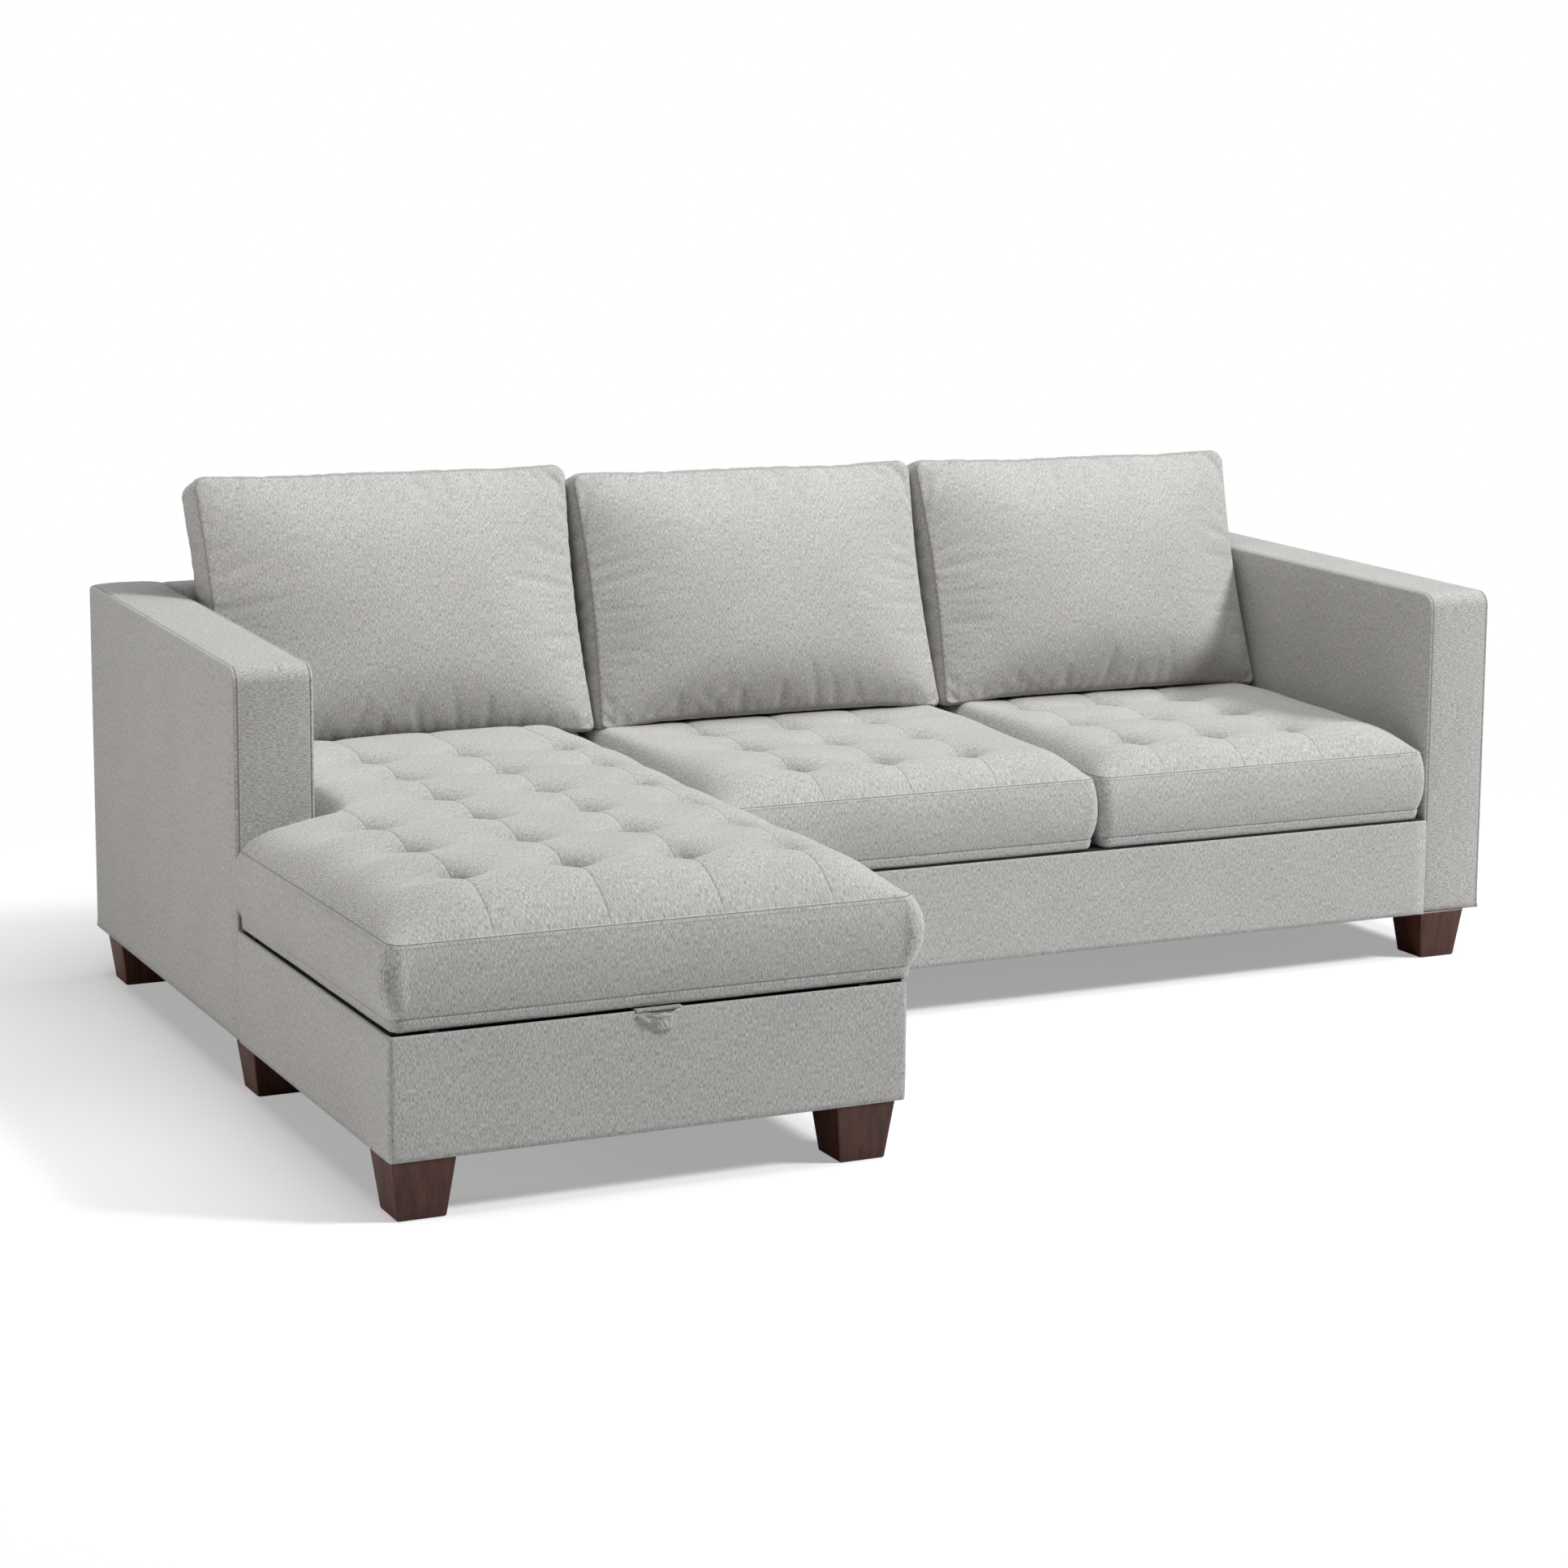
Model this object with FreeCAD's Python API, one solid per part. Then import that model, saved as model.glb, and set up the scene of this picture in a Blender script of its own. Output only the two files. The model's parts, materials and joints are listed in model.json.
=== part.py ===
# Storage sectional sofa with a lift-up chaise lid.
# Millimetres. +X is the viewer's right, +Y the back of the sofa, +Z up.
# The origin is the middle of the floor footprint.
import FreeCAD
import Part
import math
import os
from FreeCAD import Vector

os.makedirs("parts", exist_ok=True)

# Overall sizes
chaise_depth = 1550.0
chaise_width = 769.0
middle_seat_width = 731.0
right_seat_width = 672.0
tab_projection = 12.0
underside_height = 85.0

# Arms
arm_width = 128.0
arm_depth = 855.0
arm_front_height = 648.0
arm_back_height = 682.0
arm_nose_radius = 38.0
arm_heel_radius = 12.0
arm_edge_radius = 9.0
arm_side_padding = 12.0
arm_top_padding = 24.0
arm_front_padding = 20.0
arm_back_padding = 8.0

# Back
back_height = 681.0
back_thickness = 135.0
back_front_padding = 24.0
back_rear_padding = 6.0
back_top_padding = 20.0
back_top_radius = 26.0
back_rear_radius = 10.0

# Wooden frame stock
frame_stock = 30.0
skin_thickness = 3.0
rail_thickness = 22.0
panel_thickness = 15.0
floor_thickness = 9.0
frame_bottom = 86.5
base_padding = 7.0
rim_height = 252.0
rail_top = 251.5
edge_softness = 5.0

# Seat cushions and the tufted lid
lid_bottom = 257.0
lid_board_thickness = 15.0
deck_top = 254.5
band_height = 20.0
seam_height = 378.0
lid_crown = 70.0
seat_crown = 49.0
lid_crown_reach = 245.0
seat_side_reach = 150.0
seat_front_reach = 200.0
inner_edge_reach = 60.0
side_bulge = 6.0
skirt = 6.0
lid_tuft_pitch = 168.0
seat_tuft_pitch = 160.0
tuft_pitch_y = 172.0
tuft_depth = 12.0
tuft_seam_depth = 5.0
lid_tuft_shift = 9.5
right_seat_tuft_shift = -45.0
lid_front_margin = 145.0
seat_front_margin = 107.0
seat_tuft_rows = 4
seat_overhang = 7.0
soft_gap = 2.0
front_edge_length = 40.0
least_station = 8.0
arm_gap = 3.0
seat_back_gap = 1.0
lid_setback = 327.0
lid_overhang = 12.0
rear_roll = 26.0
lining_inset = 60.0
lining_thickness = 1.0
store_setback = 8.0
band_width = 50.0
band_pitch = 92.0
webbing_thickness = 1.5
ledge_gap = 3.0
ledge_board_thickness = 10.0
ledge_top = 429.5
bumper_size = 11.0
bumper_setback = 60.0

# Loose back cushions
cushion_gap = 4.0
cushion_height = 455.0
cushion_boxing = 86.0
cushion_front_crown = 60.0
cushion_rear_crown = 24.0
cushion_draw_in = 9.0
cushion_side_bulge = 3.0
cushion_edge_curve = 4.0
cushion_count = 3
cushion_lean = 17.0
cushion_setback = 325.0
cushion_foot_height = 434.0
cushion_rest_gap = 0.3

# Feet
foot_top = 92.0
foot_bottom = 70.0
foot_outer_inset = 3.0
foot_inner_inset = 16.0
foot_back_inset = 28.0
left_arm_foot_inset = 13.0
junction_foot_overlap = 32.0
corner_block_size = 75.0
corner_block_height = 45.0

# Connectors between the sections
connector_clearance = 0.2
connector_thickness = 3.0
connector_size = 60.0
connector_height = 150.0
connector_setback = 140.0
tongue_half_width = 12.0
tongue_half_height = 5.0
side_rail_gap = 1.0

# Lift hinge of the lid
hinge_setback = 90.0
base_pivot_height = 130.0
lid_pivot_height = 236.0
link_length = 180.0
link_swing = 62.0
tilt_ratio = 0.46
guide_offset_y = -45.0
guide_offset_z = -15.0
link_half_width = 10.0
guide_half_width = 9.0
pin_radius = 4.0
pin_head_radius = 7.5
pin_head = 2.0
running_clearance = 0.05
side_clearance = 0.3
plate_thickness = 3.0
link_thickness = 4.0
plane_gap = 1.0
plate_margin = 15.0
plate_rise = 22.0
plate_reach = 46.0
bracket_margin = 14.0
bracket_drop = 12.0
bracket_bevel = 8.0
bracket_flange = 28.0
bracket_reach = 30.0

# Gas struts
strut_plane = 30.0
strut_base_setback = 30.0
strut_base_height = 109.0
strut_arm = 75.0
strut_ear_radius = 15.0
strut_radius = 9.0
strut_bore = 7.5
strut_rod_radius = 4.0
strut_body_length = 112.0
strut_neck = 12.0
strut_end_wall = 4.0
strut_eye_radius = 7.0
strut_eye_width = 10.0
strut_stud_radius = 5.0
strut_cap_radius = 7.0
piston_length = 10.0
gland_length = 8.0

# Pull tab
tab_top_width = 68.0
tab_bottom_width = 26.0
tab_drop = 29.0
tab_shift = 3.0
tab_thickness = 4.0
tab_standoff = 2.0
tab_anchor_depth = 18.0
tab_anchor_thickness = 2.8

# Places worked out from the sizes above
total_depth = chaise_depth + tab_projection
back_y = total_depth / 2
overall_width = chaise_width + middle_seat_width + right_seat_width + arm_width
left_x = -overall_width / 2
right_x = overall_width / 2
arm_in_left = left_x + arm_width
arm_in_right = right_x - arm_width
arm_front_y = back_y - arm_depth
chaise_front_y = back_y - chaise_depth
chaise_right_x = left_x + chaise_width
back_front_y = back_y - back_thickness
seat_split_x = chaise_right_x + middle_seat_width
rail_front_y = arm_front_y - seat_overhang
cushion_room = arm_in_right - arm_in_left - cushion_gap
cushion_width = cushion_room / cushion_count - cushion_gap
lid_rear_y = back_y - lid_setback
wing_rear_y = arm_front_y - arm_gap
panel_left_x = left_x + base_padding
panel_right_x = chaise_right_x - base_padding
wall_left = arm_in_left + panel_thickness
wall_right = panel_right_x - panel_thickness
panel_front_y = chaise_front_y + base_padding
store_rear_y = lid_rear_y - store_setback


def box(x0, x1, y0, y1, z0, z1):
    """Box between two corners."""
    return Part.makeBox(x1 - x0, y1 - y0, z1 - z0, Vector(x0, y0, z0))


def polygon_x(points, x0, x1):
    """Prism along X over a polygon of (y, z) points."""
    corners = [Vector(x0, y, z) for y, z in points]
    face = Part.Face(Part.makePolygon(corners + corners[:1]))
    return face.extrude(Vector(x1 - x0, 0, 0))


def polygon_z(points, z0, z1):
    """Prism along Z over a polygon of (x, y) points."""
    corners = [Vector(x, y, z0) for x, y in points]
    face = Part.Face(Part.makePolygon(corners + corners[:1]))
    return face.extrude(Vector(0, 0, z1 - z0))


def bar(start, end, radius):
    """Round bar between two points."""
    axis = end - start
    return Part.makeCylinder(radius, axis.Length, start, axis)


def fillet_edges(shape, radius, chosen):
    """Round the edges of a shape for which chosen(edge) is true."""
    edges = [edge for edge in shape.Edges if chosen(edge)]
    return shape.makeFillet(radius, edges)


def runs_along(edge, axis):
    """True for a straight edge parallel to X, Y or Z."""
    if not isinstance(edge.Curve, Part.Line):
        return False
    direction = edge.Vertexes[-1].Point - edge.Vertexes[0].Point
    return abs(abs(direction[axis]) - direction.Length) < 1e-6


def write(node, shapes):
    """Write one sub-part, made of one or more separate solids."""
    if not isinstance(shapes, list):
        shapes = [shapes]
    solids = [solid for shape in shapes for solid in shape.Solids]
    shape = solids[0] if len(solids) == 1 else Part.makeCompound(solids)
    shape.exportStep("parts/" + node + ".step")


# Arms

def arm_outline(front, back, bottom, top):
    """Side view of an arm, drawn in from its outside by the paddings given."""
    slope = (arm_back_height - arm_front_height) / arm_depth
    y_front = arm_front_y + front
    y_back = back_y - back
    z_front = arm_front_height - top + slope * front
    z_back = arm_back_height - top - slope * back
    return [(y_front, bottom), (y_back, bottom), (y_back, z_back), (y_front, z_front)]


def arm_void_outline():
    """Side view of the hollow in an arm casing."""
    return arm_outline(arm_front_padding, arm_back_padding, underside_height, arm_top_padding)


def arm_cover(x0):
    """Padded casing of one arm: a hollow shell with a soft nose, open below."""
    x1 = x0 + arm_width
    block = polygon_x(arm_outline(0, 0, underside_height, 0), x0, x1)

    def is_nose(edge):
        middle = edge.CenterOfMass
        return runs_along(edge, 0) and middle.z > seam_height and middle.y < arm_front_y + 1

    def is_heel(edge):
        middle = edge.CenterOfMass
        return runs_along(edge, 0) and middle.z > seam_height and middle.y > back_y - 1

    block = fillet_edges(block, arm_nose_radius, is_nose)
    block = fillet_edges(block, arm_heel_radius, is_heel)

    def is_seam(edge):
        ends = [vertex.Point for vertex in edge.Vertexes]
        on_side = all(abs(p.x - x0) < 1e-6 or abs(p.x - x1) < 1e-6 for p in ends)
        same_side = abs(ends[0].x - ends[-1].x) < 1e-6
        above = max(p.z for p in ends) > underside_height + 1.0
        behind = min(p.y for p in ends) > back_y - 1e-6
        return on_side and same_side and above and not behind

    block = fillet_edges(block, arm_edge_radius, is_seam)
    return block.cut(polygon_x(arm_void_outline(), x0 + arm_side_padding, x1 - arm_side_padding))


def arm_frame(x0):
    """Posts and rails inside one arm, as separate lengths of timber."""
    low = x0 + arm_side_padding + skin_thickness
    high = x0 + arm_width - arm_side_padding - skin_thickness
    corners = arm_void_outline()
    y_front, y_back = corners[0][0], corners[1][0]
    z_back, z_front = corners[2][1], corners[3][1]
    slope = (z_back - z_front) / (y_back - y_front)
    inner_front = y_front + frame_stock
    inner_back = y_back - frame_stock
    rail_bottom = underside_height + frame_stock

    def under_top(y):
        return z_front + slope * (y - y_front) - frame_stock

    middle = (y_front + y_back) / 2
    half = frame_stock / 2
    bottom_rail = box(low, high, y_front, y_back, underside_height, rail_bottom)
    top_rail = polygon_x([(y_front, under_top(y_front)), (y_back, under_top(y_back)),
                          (y_back, z_back), (y_front, z_front)], low, high)
    posts = []
    for y0, y1 in ((y_front, inner_front), (middle - half, middle + half), (inner_back, y_back)):
        posts.append(polygon_x([(y0, rail_bottom), (y1, rail_bottom),
                                (y1, under_top(y1)), (y0, under_top(y0))], low, high))
    return [bottom_rail, top_rail] + posts


def arm_skins(x0):
    """Two thin boards that close the sides of an arm frame."""
    outline = arm_void_outline()
    outer = x0 + arm_side_padding
    inner = x0 + arm_width - arm_side_padding
    return [polygon_x(outline, outer, outer + skin_thickness),
            polygon_x(outline, inner - skin_thickness, inner)]


# Back

def back_cover(x0, x1):
    """Padded casing of one back section, hollow and open below."""
    block = box(x0, x1, back_front_y, back_y, underside_height, back_height)

    def is_front_top(edge):
        middle = edge.CenterOfMass
        return runs_along(edge, 0) and middle.z > back_height - 1 and middle.y < back_front_y + 1

    def is_rear_top(edge):
        middle = edge.CenterOfMass
        return runs_along(edge, 0) and middle.z > back_height - 1 and middle.y > back_y - 1

    block = fillet_edges(block, back_top_radius, is_front_top)
    block = fillet_edges(block, back_rear_radius, is_rear_top)
    hollow = box(x0 + edge_softness, x1 - edge_softness, back_front_y + back_front_padding,
                 back_y - back_rear_padding, underside_height, back_height - back_top_padding)
    return block.cut(hollow)


def back_frame(x0, x1, post_count):
    """Top rail, bottom rail and posts of one back section."""
    low = x0 + edge_softness
    high = x1 - edge_softness
    y0 = back_front_y + back_front_padding
    y1 = back_y - back_rear_padding
    top = back_height - back_top_padding
    rail_height = underside_height + frame_stock
    bottom_rail = box(low, high, y0, y1, underside_height, rail_height)
    top_rail = box(low, high, y0, y1, top - frame_stock, top)
    pieces = [bottom_rail, top_rail]
    step = (high - low - frame_stock) / (post_count - 1)
    for index in range(post_count):
        x = low + step * index
        pieces.append(box(x, x + frame_stock, y0, y1, rail_height, top - frame_stock))
    return pieces


# Tufted cushions

class TuftedForm:
    """What stays the same along a tufted cushion."""

    def __init__(self, front, rear, left, right, bottom, columns, rows, crown, side_reach,
                 front_reach, crown_left):
        self.front = front
        self.rear = rear
        self.left = left
        self.right = right
        self.bottom = bottom
        self.columns = columns
        self.rows = rows
        self.crown = crown
        self.side_reach = side_reach
        self.front_reach = front_reach
        self.crown_left = crown_left


def crown_share(distance, reach):
    """Share of the full crown at a distance from an edge: steep at first, then level."""
    fall = 1 - min(max(distance, 0), reach) / reach
    return 1 - fall ** 4


def is_tufted(x, y):
    """True where a column is pinched in a row: beside the arm the outer column stops."""
    return x > arm_in_left + inner_edge_reach or y < arm_front_y - tuft_pitch_y


def tufted_section(form, y, at_row, draw):
    """Closed outline across a tufted cushion at one distance along it.

    Its top is one arc between each two tuft columns, its sides are shallow arcs.
    """
    band = form.bottom + band_height
    along = crown_share(y - form.front, form.front_reach)
    roll = rear_roll if y > form.rear - 1 else 0.0
    left_side = form.left + draw
    right_side = form.right - draw

    def surface(x, dip):
        across = min(crown_share(x - form.crown_left, form.side_reach),
                     crown_share(x - form.left, inner_edge_reach),
                     crown_share(form.right - x, form.side_reach))
        level = across * along
        return seam_height + form.crown * level - dip * min(1.0, 2 * level) - roll * across

    points = [(left_side, seam_height)]
    for x in form.columns:
        pinched = at_row and is_tufted(x, y)
        points.append((x, surface(x, tuft_depth if pinched else tuft_seam_depth)))
    points.append((right_side, seam_height))
    ridge_dip = tuft_seam_depth if at_row else 0.0
    edges = []
    for (xa, za), (xb, zb) in zip(points, points[1:]):
        xm = (xa + xb) / 2
        zm = max(surface(xm, ridge_dip), (za + zb) / 2 + 1.0)
        edges.append(Part.Arc(Vector(xa, y, za), Vector(xm, y, zm), Vector(xb, y, zb)).toShape())

    def side(x, outward):
        top = Vector(x, y, seam_height)
        low = Vector(x, y, band)
        middle = Vector(x + outward * side_bulge, y, (seam_height + band) / 2)
        return top, middle, low

    top, middle, low = side(right_side, 1)
    edges.append(Part.Arc(top, middle, low).toShape())
    foot_right = Vector(right_side - skirt, y, form.bottom)
    foot_left = Vector(left_side + skirt, y, form.bottom)
    edges.append(Part.makeLine(low, foot_right))
    edges.append(Part.makeLine(foot_right, foot_left))
    top, middle, low = side(left_side, -1)
    edges.append(Part.makeLine(foot_left, low))
    edges.append(Part.Arc(low, middle, top).toShape())
    return Part.Wire(edges)


def stations_between(form, start, end):
    """Places along a cushion: its ends, the tuft rows, and halfway between rows."""
    rows = form.rows
    edge = form.front + front_edge_length
    marks = [(edge, False), ((edge + rows[0]) / 2, False)]
    marks += [(row, True) for row in rows]
    marks += [((a + b) / 2, False) for a, b in zip(rows, rows[1:])]
    marks.append((form.rear - front_edge_length, False))
    inside = [mark for mark in marks if start + least_station < mark[0] < end - least_station]
    return sorted(inside + [(start, False), (end, False)])


def tufted_loft(form, start, end):
    """Cushion body from start to end, through sections at its stations."""
    wires = []
    for y, at_row in stations_between(form, start, end):
        draw = side_bulge if y < form.front + 1 else 0.0
        wires.append(tufted_section(form, y, at_row, draw))
    return Part.makeLoft(wires, True, True)


def tuft_columns(left, right, count, pitch, shift):
    """Evenly pitched tuft columns, centred between two sides and then shifted."""
    middle = (left + right) / 2 + shift
    first = middle - pitch * (count - 1) / 2
    return [first + pitch * index for index in range(count)]


# Lid of the storage chaise: the wing in front of the arm makes it an L in plan

lid_left = left_x + side_bulge
lid_inner_left = arm_in_left + arm_gap + side_bulge
lid_right = chaise_right_x + lid_overhang
lid_rows = [chaise_front_y + lid_front_margin + tuft_pitch_y * index for index in range(6)]
lid_columns = tuft_columns(lid_left, lid_right, 4, lid_tuft_pitch, lid_tuft_shift)


def lid_board():
    """Plywood board under the lid cushion."""
    inset = skirt + side_bulge
    front = chaise_front_y + inset
    notch = wing_rear_y - inset
    outline = [(lid_left + inset, front), (lid_right - inset, front),
               (lid_right - inset, lid_rear_y - inset), (lid_inner_left + inset, lid_rear_y - inset),
               (lid_inner_left + inset, notch), (lid_left + inset, notch)]
    return polygon_z(outline, lid_bottom, lid_bottom + lid_board_thickness)


def lid_cushion():
    """Tufted lid cushion: a wide front part and a narrower part between arm and seat."""
    front = chaise_front_y
    wide = TuftedForm(front, lid_rear_y, lid_left, lid_right, lid_bottom, lid_columns, lid_rows,
                      lid_crown, lid_crown_reach, lid_crown_reach, lid_left)
    narrow = TuftedForm(front, lid_rear_y, lid_inner_left, lid_right, lid_bottom, lid_columns[1:],
                        lid_rows, lid_crown, lid_crown_reach, lid_crown_reach, lid_left)
    body = tufted_loft(wide, front, wing_rear_y).fuse(tufted_loft(narrow, wing_rear_y, lid_rear_y))
    return body.cut(lid_board())


def seat_cushion(left, right, tuft_shift):
    """Fixed tufted seat cushion of the two-seat side."""
    front = rail_front_y
    rear = back_front_y - seat_back_gap
    rows = [front + seat_front_margin + tuft_pitch_y * index for index in range(seat_tuft_rows)]
    columns = tuft_columns(left, right, 3, seat_tuft_pitch, tuft_shift)
    form = TuftedForm(front, rear, left, right, deck_top, columns, rows,
                      seat_crown, seat_side_reach, seat_front_reach, left)
    return tufted_loft(form, front, rear)


# Loose back cushions

def lean_point(x, up, back):
    """Point of a leaning cushion: up along its face, back through its thickness."""
    angle = math.radians(cushion_lean)
    y = back_y - cushion_setback + up * math.sin(angle) + back * math.cos(angle)
    z = cushion_foot_height + up * math.cos(angle) - back * math.sin(angle)
    return Vector(x, y, z)


def cushion_section(middle, share):
    """Section through a back cushion at one share of its height.

    The crown grows from the seams to the middle and the sides are drawn in between corners.
    """
    arch = math.sin(math.pi * share)
    swell = abs(arch) ** 0.6
    half = cushion_width / 2 - cushion_side_bulge - cushion_draw_in * arch
    outer = half + cushion_side_bulge
    up = cushion_height * share
    front = -cushion_edge_curve - cushion_front_crown * swell
    rear = cushion_boxing + cushion_edge_curve + cushion_rear_crown * swell
    corners = [lean_point(middle - half, up, 0), lean_point(middle + half, up, 0),
               lean_point(middle + half, up, cushion_boxing),
               lean_point(middle - half, up, cushion_boxing)]
    side = cushion_boxing / 2
    edges = [Part.Arc(corners[0], lean_point(middle, up, front), corners[1]).toShape(),
             Part.Arc(corners[1], lean_point(middle + outer, up, side), corners[2]).toShape(),
             Part.Arc(corners[2], lean_point(middle, up, rear), corners[3]).toShape(),
             Part.Arc(corners[3], lean_point(middle - outer, up, side), corners[0]).toShape()]
    return Part.Wire(edges)


def back_cushion(middle):
    """Plump back cushion with boxed sides, cut flat where it rests on the seat."""
    shares = [0.0, 0.05, 0.16, 0.33, 0.5, 0.67, 0.84, 0.95, 1.0]
    body = Part.makeLoft([cushion_section(middle, share) for share in shares], True, True)
    rest = cushion_rest_height()
    below = box(left_x, right_x, chaise_front_y, back_y, 0, rest)
    return body.cut(below)


def cushion_rest_height():
    """Height on which the back cushions stand: just above the ledge and the seats."""
    return ledge_top + cushion_rest_gap


# Lift hinge: a main link, a guide link and a gas strut on each side wall

def pivot_path(angle):
    """Lid pivot after the main link has turned by an angle."""
    rest = math.asin((lid_pivot_height - base_pivot_height) / link_length)
    y = base_pivot[0] + link_length * math.cos(rest + angle)
    z = base_pivot[1] + link_length * math.sin(rest + angle)
    return y, z


def on_lid(offset, angle):
    """A point carried by the lid, given by its offset from the lid pivot at rest."""
    turn = -tilt_ratio * angle
    y, z = pivot_path(angle)
    return (y + offset[0] * math.cos(turn) - offset[1] * math.sin(turn),
            z + offset[0] * math.sin(turn) + offset[1] * math.cos(turn))


def circle_centre(a, b, c):
    """Centre of the circle through three points."""
    d = 2 * (a[0] * (b[1] - c[1]) + b[0] * (c[1] - a[1]) + c[0] * (a[1] - b[1]))
    sa = a[0] ** 2 + a[1] ** 2
    sb = b[0] ** 2 + b[1] ** 2
    sc = c[0] ** 2 + c[1] ** 2
    y = (sa * (b[1] - c[1]) + sb * (c[1] - a[1]) + sc * (a[1] - b[1])) / d
    z = (sa * (c[0] - b[0]) + sb * (a[0] - c[0]) + sc * (b[0] - a[0])) / d
    return y, z


def bearing(centre, point):
    """Direction from a centre to a point, measured from +Y towards +Z."""
    return math.atan2(point[1] - centre[1], point[0] - centre[0])


full_swing = math.radians(link_swing)
lid_pivot = (lid_rear_y - hinge_setback, lid_pivot_height)
link_rest = math.asin((lid_pivot_height - base_pivot_height) / link_length)
base_pivot = (lid_pivot[0] - link_length * math.cos(link_rest), base_pivot_height)
guide_offset = (guide_offset_y, guide_offset_z)
guide_lid_pivot = on_lid(guide_offset, 0)
guide_base_pivot = circle_centre(on_lid(guide_offset, 0), on_lid(guide_offset, full_swing / 2),
                                 on_lid(guide_offset, full_swing))
guide_turn = (bearing(guide_base_pivot, on_lid(guide_offset, full_swing))
              - bearing(guide_base_pivot, guide_lid_pivot))
strut_base = (store_rear_y - strut_base_setback, strut_base_height)


def strut_pin(angle):
    """Upper end of a gas strut, on the main link."""
    y = base_pivot[0] + strut_arm * math.cos(link_rest + angle)
    z = base_pivot[1] + strut_arm * math.sin(link_rest + angle)
    return y, z


strut_closed = math.dist(strut_base, strut_pin(0))
strut_open = math.dist(strut_base, strut_pin(full_swing))
strut_turn = bearing(strut_base, strut_pin(full_swing)) - bearing(strut_base, strut_pin(0))

# Planes of the hinge, counted inward from the side wall
link_low = plate_thickness + plane_gap
link_high = link_low + link_thickness
bracket_low = link_high + plane_gap
bracket_high = bracket_low + plate_thickness
guide_low = bracket_high + plane_gap
guide_high = guide_low + link_thickness


def at(side, offset, place):
    """Point at an offset inward from the left (side 1) or right (side -1) wall."""
    wall = wall_left if side == 1 else wall_right
    return Vector(wall + side * offset, place[0], place[1])


def disc(side, place, radius, low, high):
    """Round piece along X between two offsets from a wall."""
    return bar(at(side, low, place), at(side, high, place), radius)


def flat_bar(side, start, end, radius, low, high):
    """Flat link with round ends between two places."""
    length = math.dist(start, end)
    across = (-(end[1] - start[1]) * radius / length, (end[0] - start[0]) * radius / length)
    corners = [(start[0] + across[0], start[1] + across[1]), (end[0] + across[0], end[1] + across[1]),
               (end[0] - across[0], end[1] - across[1]), (start[0] - across[0], start[1] - across[1])]
    points = [at(side, low, corner) for corner in corners]
    web = Part.Face(Part.makePolygon(points + points[:1])).extrude(Vector(side * (high - low), 0, 0))
    link = web.fuse([disc(side, start, radius, low, high), disc(side, end, radius, low, high)])
    return link.removeSplitter()


def headed_pin(side, place, low, high):
    """Riveted pin from one offset to another, with a head at its inner end."""
    shank = disc(side, place, pin_radius, low, high)
    head = disc(side, place, pin_head_radius, high, high + pin_head)
    return shank.fuse(head).removeSplitter()


def hinge_plate(side):
    """Base plate of one hinge, screwed to the side wall."""
    rear = strut_base[0] + bracket_margin
    front = guide_base_pivot[0] - plate_margin
    low = frame_bottom + floor_thickness + side_clearance
    high = base_pivot_height + plate_rise
    outline = [(front, low), (rear, low), (rear, strut_base_height + bracket_margin),
               (base_pivot[0] + plate_reach, high), (base_pivot[0] - plate_rise, high),
               (front, guide_base_pivot[1] + plate_margin)]
    points = [at(side, 0, corner) for corner in outline]
    plate = Part.Face(Part.makePolygon(points + points[:1])).extrude(
        Vector(side * plate_thickness, 0, 0))
    holes = [disc(side, place, pin_radius, -1, plate_thickness + 1)
             for place in (base_pivot, guide_base_pivot)]
    holes.append(disc(side, strut_base, pin_radius, -1, plate_thickness + 1))
    return plate.cut(holes)


def bracket_outline():
    """Side view of the lid bracket's upright plate."""
    top = lid_bottom - plate_thickness
    low = lid_pivot_height - bracket_drop
    front = guide_lid_pivot[0] - bracket_margin
    rear = lid_pivot[0] + bracket_margin
    guide_low_edge = guide_lid_pivot[1] - bracket_drop
    return [(front, top), (front, guide_lid_pivot[1]), (front + bracket_bevel, guide_low_edge),
            (guide_lid_pivot[0] + bracket_bevel, guide_low_edge),
            (lid_pivot[0] + bracket_bevel, low), (rear, low + bracket_bevel), (rear, top)]


def lid_bracket(side):
    """Steel angle under the lid board, with the hole of the main pivot."""
    points = [at(side, bracket_low, corner) for corner in bracket_outline()]
    upright = Part.Face(Part.makePolygon(points + points[:1])).extrude(
        Vector(side * plate_thickness, 0, 0))
    top = lid_bottom - plate_thickness
    front = guide_lid_pivot[0] - bracket_reach
    rear = lid_pivot[0] + bracket_reach
    a = at(side, bracket_low, (front, top))
    b = at(side, bracket_low + bracket_flange, (rear, lid_bottom))
    flange = box(min(a.x, b.x), max(a.x, b.x), a.y, b.y, a.z, b.z)
    hole = disc(side, lid_pivot, pin_radius + running_clearance, bracket_low - 1, bracket_high + 1)
    return upright.fuse(flange).removeSplitter().cut(hole)


def main_link(side):
    """Main link with the ear that carries the gas strut."""
    link = flat_bar(side, base_pivot, lid_pivot, link_half_width, link_low, link_high)
    ear = disc(side, strut_pin(0), strut_ear_radius, link_low, link_high)
    holes = [disc(side, base_pivot, pin_radius + running_clearance, link_low - 1, link_high + 1),
             disc(side, lid_pivot, pin_radius, link_low - 1, link_high + 1)]
    return link.fuse(ear).removeSplitter().cut(holes)


def guide_link(side):
    """Guide link, which keeps the lid tilting as it rises."""
    link = flat_bar(side, guide_base_pivot, guide_lid_pivot, guide_half_width, guide_low, guide_high)
    holes = [disc(side, guide_base_pivot, pin_radius + running_clearance, guide_low - 1, guide_high + 1),
             disc(side, guide_lid_pivot, pin_radius, guide_low - 1, guide_high + 1)]
    return link.cut(holes)


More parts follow.
